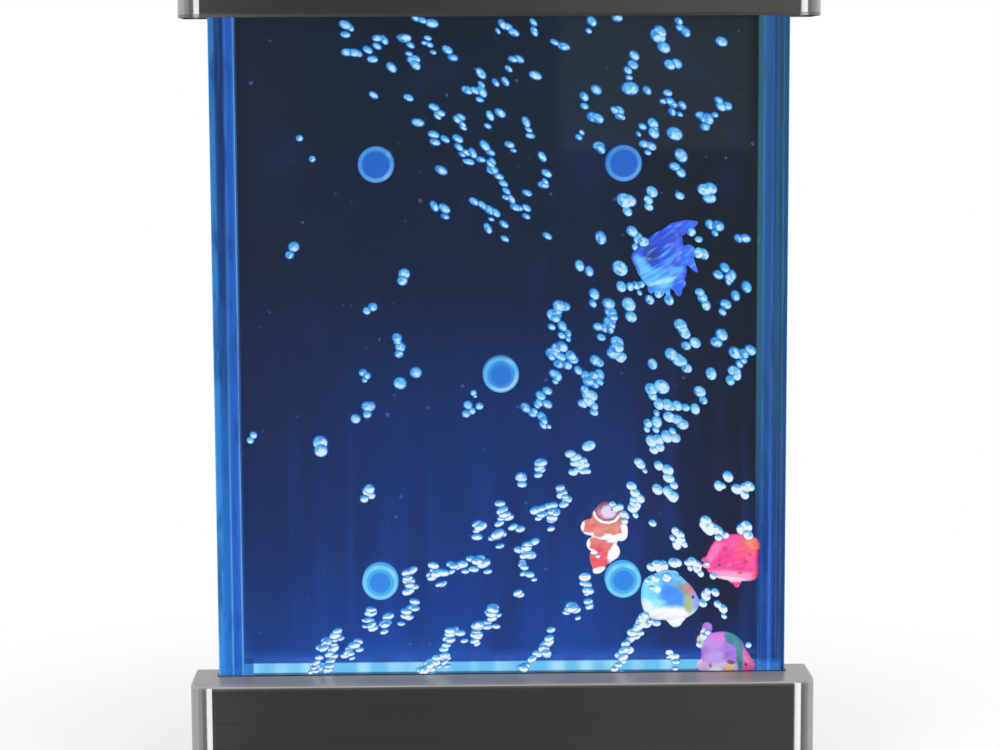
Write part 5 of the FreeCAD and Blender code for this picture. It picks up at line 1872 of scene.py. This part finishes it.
    def lower_left(self) -> BubbleField:
        """Give the streams over the two left jets, flattened by their speed.

        Returns:
            The field, not yet built.
        """
        trails = (
            Trail(2, ((-23, 147), (-21, 140)), 4.8),
            Trail(4, ((0, 166), (3, 156), (6, 148)), 5.0),
            Trail(4, ((-9, 130), (0, 137)), 5.2),
            Trail(8, ((-18, 106), (-26, 112), (-42, 104), (-50, 109)), 5.0),
            Trail(5, ((-66, 107), (-68, 97), (-57, 99)), 5.0),
            Trail(6, ((-88, 103), (-92, 92), (-86, 81)), 4.8),
            Trail(4, ((-83, 70), (-97, 53)), 4.8),
            Trail(7, ((-124, 65), (-131, 54), (-127, 43)), 4.8),
            Trail(3, ((-112, 55), (-112, 47)), 5.0),
            Trail(6, ((-8, 66), (-11, 57), (-9, 50)), 5.2),
            Trail(5, ((-24, 46), (-22, 33)), 5.0),
            Trail(6, ((-38, 38), (-50, 42), (-50, 32)), 4.8),
            Trail(9, ((-54, 22), (-61, 14), (-71, 7), (-80, 1)), 4.8),
            Trail(7, ((-157, 42), (-166, 34), (-176, 24)), 4.8),
            Trail(6, ((-166, 26), (-168, 14), (-169, 2)), 4.6),
            Trail(4, ((-182, 14), (-181, 0)), 4.4),
            Trail(5, ((-152, 20), (-140, 32)), 4.6),
        )
        return BubbleField("bubbles_lower_left", -12.0, 1.7, trails, 18, 0.7)

    def left_sparse(self) -> BubbleField:
        """Give the few bubbles that drift up the left side.

        Returns:
            The field, not yet built.
        """
        trails = (
            Trail(2, ((-93, 390), (-93, 382)), 4.4),
            Trail(2, ((-119, 359), (-131, 351)), 3.4),
            Trail(3, ((-99, 330), (-96, 317)), 4.0),
            Trail(2, ((-135, 294), (-124, 291)), 3.8),
            Trail(1, ((-80, 294),), 4.2),
            Trail(1, ((-95, 284),), 5.0),
            Trail(2, ((-128, 264), (-128, 258)), 4.2),
            Trail(1, ((-140, 248),), 4.2),
            Trail(2, ((-174, 230), (-174, 216)), 6.6),
            Trail(2, ((-127, 184), (-127, 176)), 4.4),
            Trail(3, ((-32, 265), (-32, 255), (-15, 264)), 4.2),
            Trail(1, ((-26, 276),), 2.6),
            Trail(2, ((-199, 525), (-171, 494)), 3.2),
            Trail(1, ((-199, 414),), 4.6),
            Trail(2, ((-240, 236), (-240, 228)), 3.6),
        )
        return BubbleField("bubbles_left", 6.0, 1.15, trails, 19)


@dataclass
class Innards:
    """The pump, lamps, board and pipes inside the base."""

    mill: Finish = MillMetal("mill aluminium", srgb(190, 192, 194), 0.36)
    black: Finish = Moulded("pump moulding", srgb(40, 40, 44), 0.5, 1000.0)
    rubber: Finish = Moulded("pump rubber", srgb(26, 26, 27), 0.66, 800.0)
    iron: Finish = MillMetal("core iron", srgb(96, 96, 100), 0.5, (30.0, 1400.0, 30.0))
    steel: Finish = MillMetal("pin steel", srgb(180, 180, 184), 0.25, (60.0, 500.0, 500.0))
    copper: Finish = CopperWinding("copper winding")
    hose: Finish = MilkyHose("milky hose")
    board: Finish = CoatedBoard("coated board")
    chip: Finish = LampChip("lamp chip")
    sleeve: Finish = Moulded("wire sleeve", srgb(150, 40, 38), 0.48, 1300.0)

    def build(self) -> None:
        """Dress each inner node in what it is made of."""
        dress(self.mill, "pump_arm", "air_manifold")
        dress(self.black, "pump_case", "pump_lid", "pump_valve_head", "check_valve", "board_standoffs")
        dress(self.rubber, "pump_mounts", "pump_diaphragm")
        dress(self.iron, "pump_core", "pump_magnet")
        dress(self.steel, "pump_pivot_pin")
        dress(self.copper, "pump_coil")
        dress(self.hose, "pump_hose", "manifold_hose")
        dress(self.board, "led_board", "control_board")
        dress(self.chip, "led_chips")
        dress(self.sleeve, "wires")


@dataclass
class Studio:
    """Pale floor, soft light, white surround and the camera."""

    camera_place: tuple[float, float, float] = (-0.054, -2.344, 0.693)
    pitch: float = 6.85
    yaw: float = -1.29
    roll: float = 0.262
    lens: float = 88.92
    floor_radius: float = 9.0
    box_height: float = 3.2
    box_level: float = 0.35
    box_spans: tuple[tuple[Point, Point], ...] = (
        ((-0.6, -1.6), (-1.3, -1.6)),
        ((0.69, -1.2), (1.48, -1.2)),
    )
    box_radiance: float = 1.85
    fill: float = 0.95
    shadow_reach: Point = (0.36, 0.95)
    mirror_edge: Point = (0.02, -0.06)
    room_span: Point = (-0.9, 0.5)
    room_steps: tuple[tuple[float, float, float], ...] = (
        (-0.86, -0.8, 0.22),
        (-0.56, -0.46, 0.26),
        (-0.16, -0.04, 0.29),
    )
    sensor: float = 36.0
    clip: Point = (0.05, 60.0)

    def build(self) -> None:
        """Set the stage."""
        self.add_floor()
        self.add_softboxes()
        self.add_surround()
        self.add_camera()
        bpy.context.scene.view_settings.view_transform = "Standard"
        LOG.info("studio: floor, %d softboxes, surround and camera", len(self.box_spans))

    def add_floor(self) -> None:
        """Lay a pale round floor that keeps the shadow near the panel and is white far off."""
        mesh = bmesh.new()
        bmesh.ops.create_circle(mesh, cap_ends=True, segments=96, radius=self.floor_radius)
        data = bpy.data.meshes.new("studio_floor")
        mesh.to_mesh(data)
        mesh.free()
        material = bpy.data.materials.new("studio floor")
        material.use_nodes = True
        bench = Bench(material.node_tree)
        across, along, _ = bench.split(bench.place())
        out = (across**2.0 + along**2.0) ** 0.5
        far = out.smooth(*self.shadow_reach)
        camera = bench.node("ShaderNodeLightPath", output="Is Camera Ray")
        glossy = bench.node("ShaderNodeLightPath", output="Is Glossy Ray")
        speckle = bench.grain((14.0, 14.0, 14.0), 2.0)
        colour = bench.blend(speckle, srgb(249, 249, 249), srgb(253, 253, 253))
        # Painted shade for reflections: glossy rays see the floor darker, so the steel mirrors a dim floor.
        colour = bench.blend(glossy * 0.3, colour, srgb(90, 90, 90))
        pale = bench.node("ShaderNodeBsdfDiffuse", {}, {"Color": colour})
        white = bench.node("ShaderNodeEmission", {}, {"Color": (1.0, 1.0, 1.0, 1.0), "Strength": 1.0})
        clear = bench.node("ShaderNodeBsdfTransparent", {}, {})
        seen = bench.node("ShaderNodeMixShader", {}, {0: camera * far, 1: pale, 2: white})
        ahead = glossy * along.smooth(*self.mirror_edge)
        shader = bench.node("ShaderNodeMixShader", {}, {0: ahead, 1: seen, 2: clear})
        bench.node("ShaderNodeOutputMaterial", {}, {"Surface": shader})
        data.materials.append(material)
        floor = bpy.data.objects.new("studio_floor", data)
        bpy.context.scene.collection.objects.link(floor)

    def add_softboxes(self) -> None:
        """Stand a tall soft light either side of the camera, from its inner to its outer edge."""
        for number, (inner, outer) in enumerate(self.box_spans):
            inner_edge = Vector((inner[0], inner[1], self.box_level))
            outer_edge = Vector((outer[0], outer[1], self.box_level))
            middle = (inner_edge + outer_edge) * 0.5
            lamp = bpy.data.lights.new("softbox", "AREA")
            lamp.shape = "RECTANGLE"
            lamp.size = (outer_edge - inner_edge).length
            lamp.size_y = self.box_height
            lamp.energy = self.box_radiance * math.pi * lamp.size * lamp.size_y
            box = bpy.data.objects.new("softbox_%d" % number, lamp)
            box.location = middle
            box.rotation_mode = "QUATERNION"
            across = (outer_edge - inner_edge).normalized()
            ahead = Vector((across.y, -across.x, 0.0))
            if ahead.dot(middle) > 0.0:
                ahead = -ahead
            box.rotation_quaternion = ahead.to_track_quat("-Z", "Y")
            box.visible_camera = False
            bpy.context.scene.collection.objects.link(box)

    def add_surround(self) -> None:
        """Make the surround white to the eye, and darker in front where the steel mirrors the room."""
        world = bpy.data.worlds.new("studio surround")
        world.use_nodes = True
        world.cycles.sampling_method = "NONE"
        bench = Bench(world.node_tree)
        camera = bench.node("ShaderNodeLightPath", output="Is Camera Ray")
        glossy = bench.node("ShaderNodeLightPath", output="Is Glossy Ray")
        through = bench.node("ShaderNodeLightPath", output="Is Transmission Ray")
        beside, away, over = bench.split(bench.node("ShaderNodeTexCoord", output="Generated"))
        span = {"Value": away, "From Min": self.room_span[0], "From Max": self.room_span[1]}
        room = bench.node("ShaderNodeMapRange", {"clamp": True}, span)
        right = beside.smooth(-0.02, 0.12) * (0.03 + over.smooth(-0.12, 0.03) * 0.08)
        steps = sum(away.smooth(start, end) * gain for start, end, gain in self.room_steps)
        left = beside.smooth(0.1, -0.1)
        slope = room * 0.72
        mirrored = 0.078 + right + slope + (steps - slope) * left + over.smooth(0.75, 0.95) * 0.5
        plain = (camera + through).smooth(0.0, 1.0)
        rest = (1.0 - plain) * (1.0 - glossy)
        level = plain + glossy * mirrored + rest * self.fill
        light = bench.node("ShaderNodeBackground", {}, {"Color": (1.0, 1.0, 1.0, 1.0), "Strength": level})
        bench.node("ShaderNodeOutputWorld", {}, {"Surface": light})
        bpy.context.scene.world = world

    def add_camera(self) -> None:
        """Set the camera where the photograph was taken from."""
        pitch, yaw, roll = (math.radians(turn) for turn in (self.pitch, self.yaw, self.roll))
        right = Vector((math.cos(yaw), math.sin(yaw), 0.0))
        ahead = Vector((-math.sin(yaw) * math.cos(pitch), math.cos(yaw) * math.cos(pitch), -math.sin(pitch)))
        down = ahead.cross(right)
        across = right * math.cos(roll) + down * math.sin(roll)
        dip = down * math.cos(roll) - right * math.sin(roll)
        lens = bpy.data.cameras.new("camera")
        lens.lens = self.lens
        lens.sensor_width = self.sensor
        lens.sensor_fit = "HORIZONTAL"
        lens.clip_start, lens.clip_end = self.clip
        camera = bpy.data.objects.new("camera", lens)
        turn = Matrix((across, -dip, -ahead)).transposed().to_4x4()
        camera.matrix_world = Matrix.Translation(self.camera_place) @ turn
        bpy.context.scene.collection.objects.link(camera)
        bpy.context.scene.camera = camera


def main() -> None:
    """Build the panel's looks piece by piece."""
    logging.basicConfig(level=logging.INFO, format="%(message)s")
    SteelCase().build()
    Tank().build()
    Innards().build()
    for fish in (blue_fish(), orange_fish(), pale_fish(), red_fish(), violet_fish()):
        fish.build()
    BubbleStreams().build()
    Studio().build()


if __name__ == "__main__":
    main()
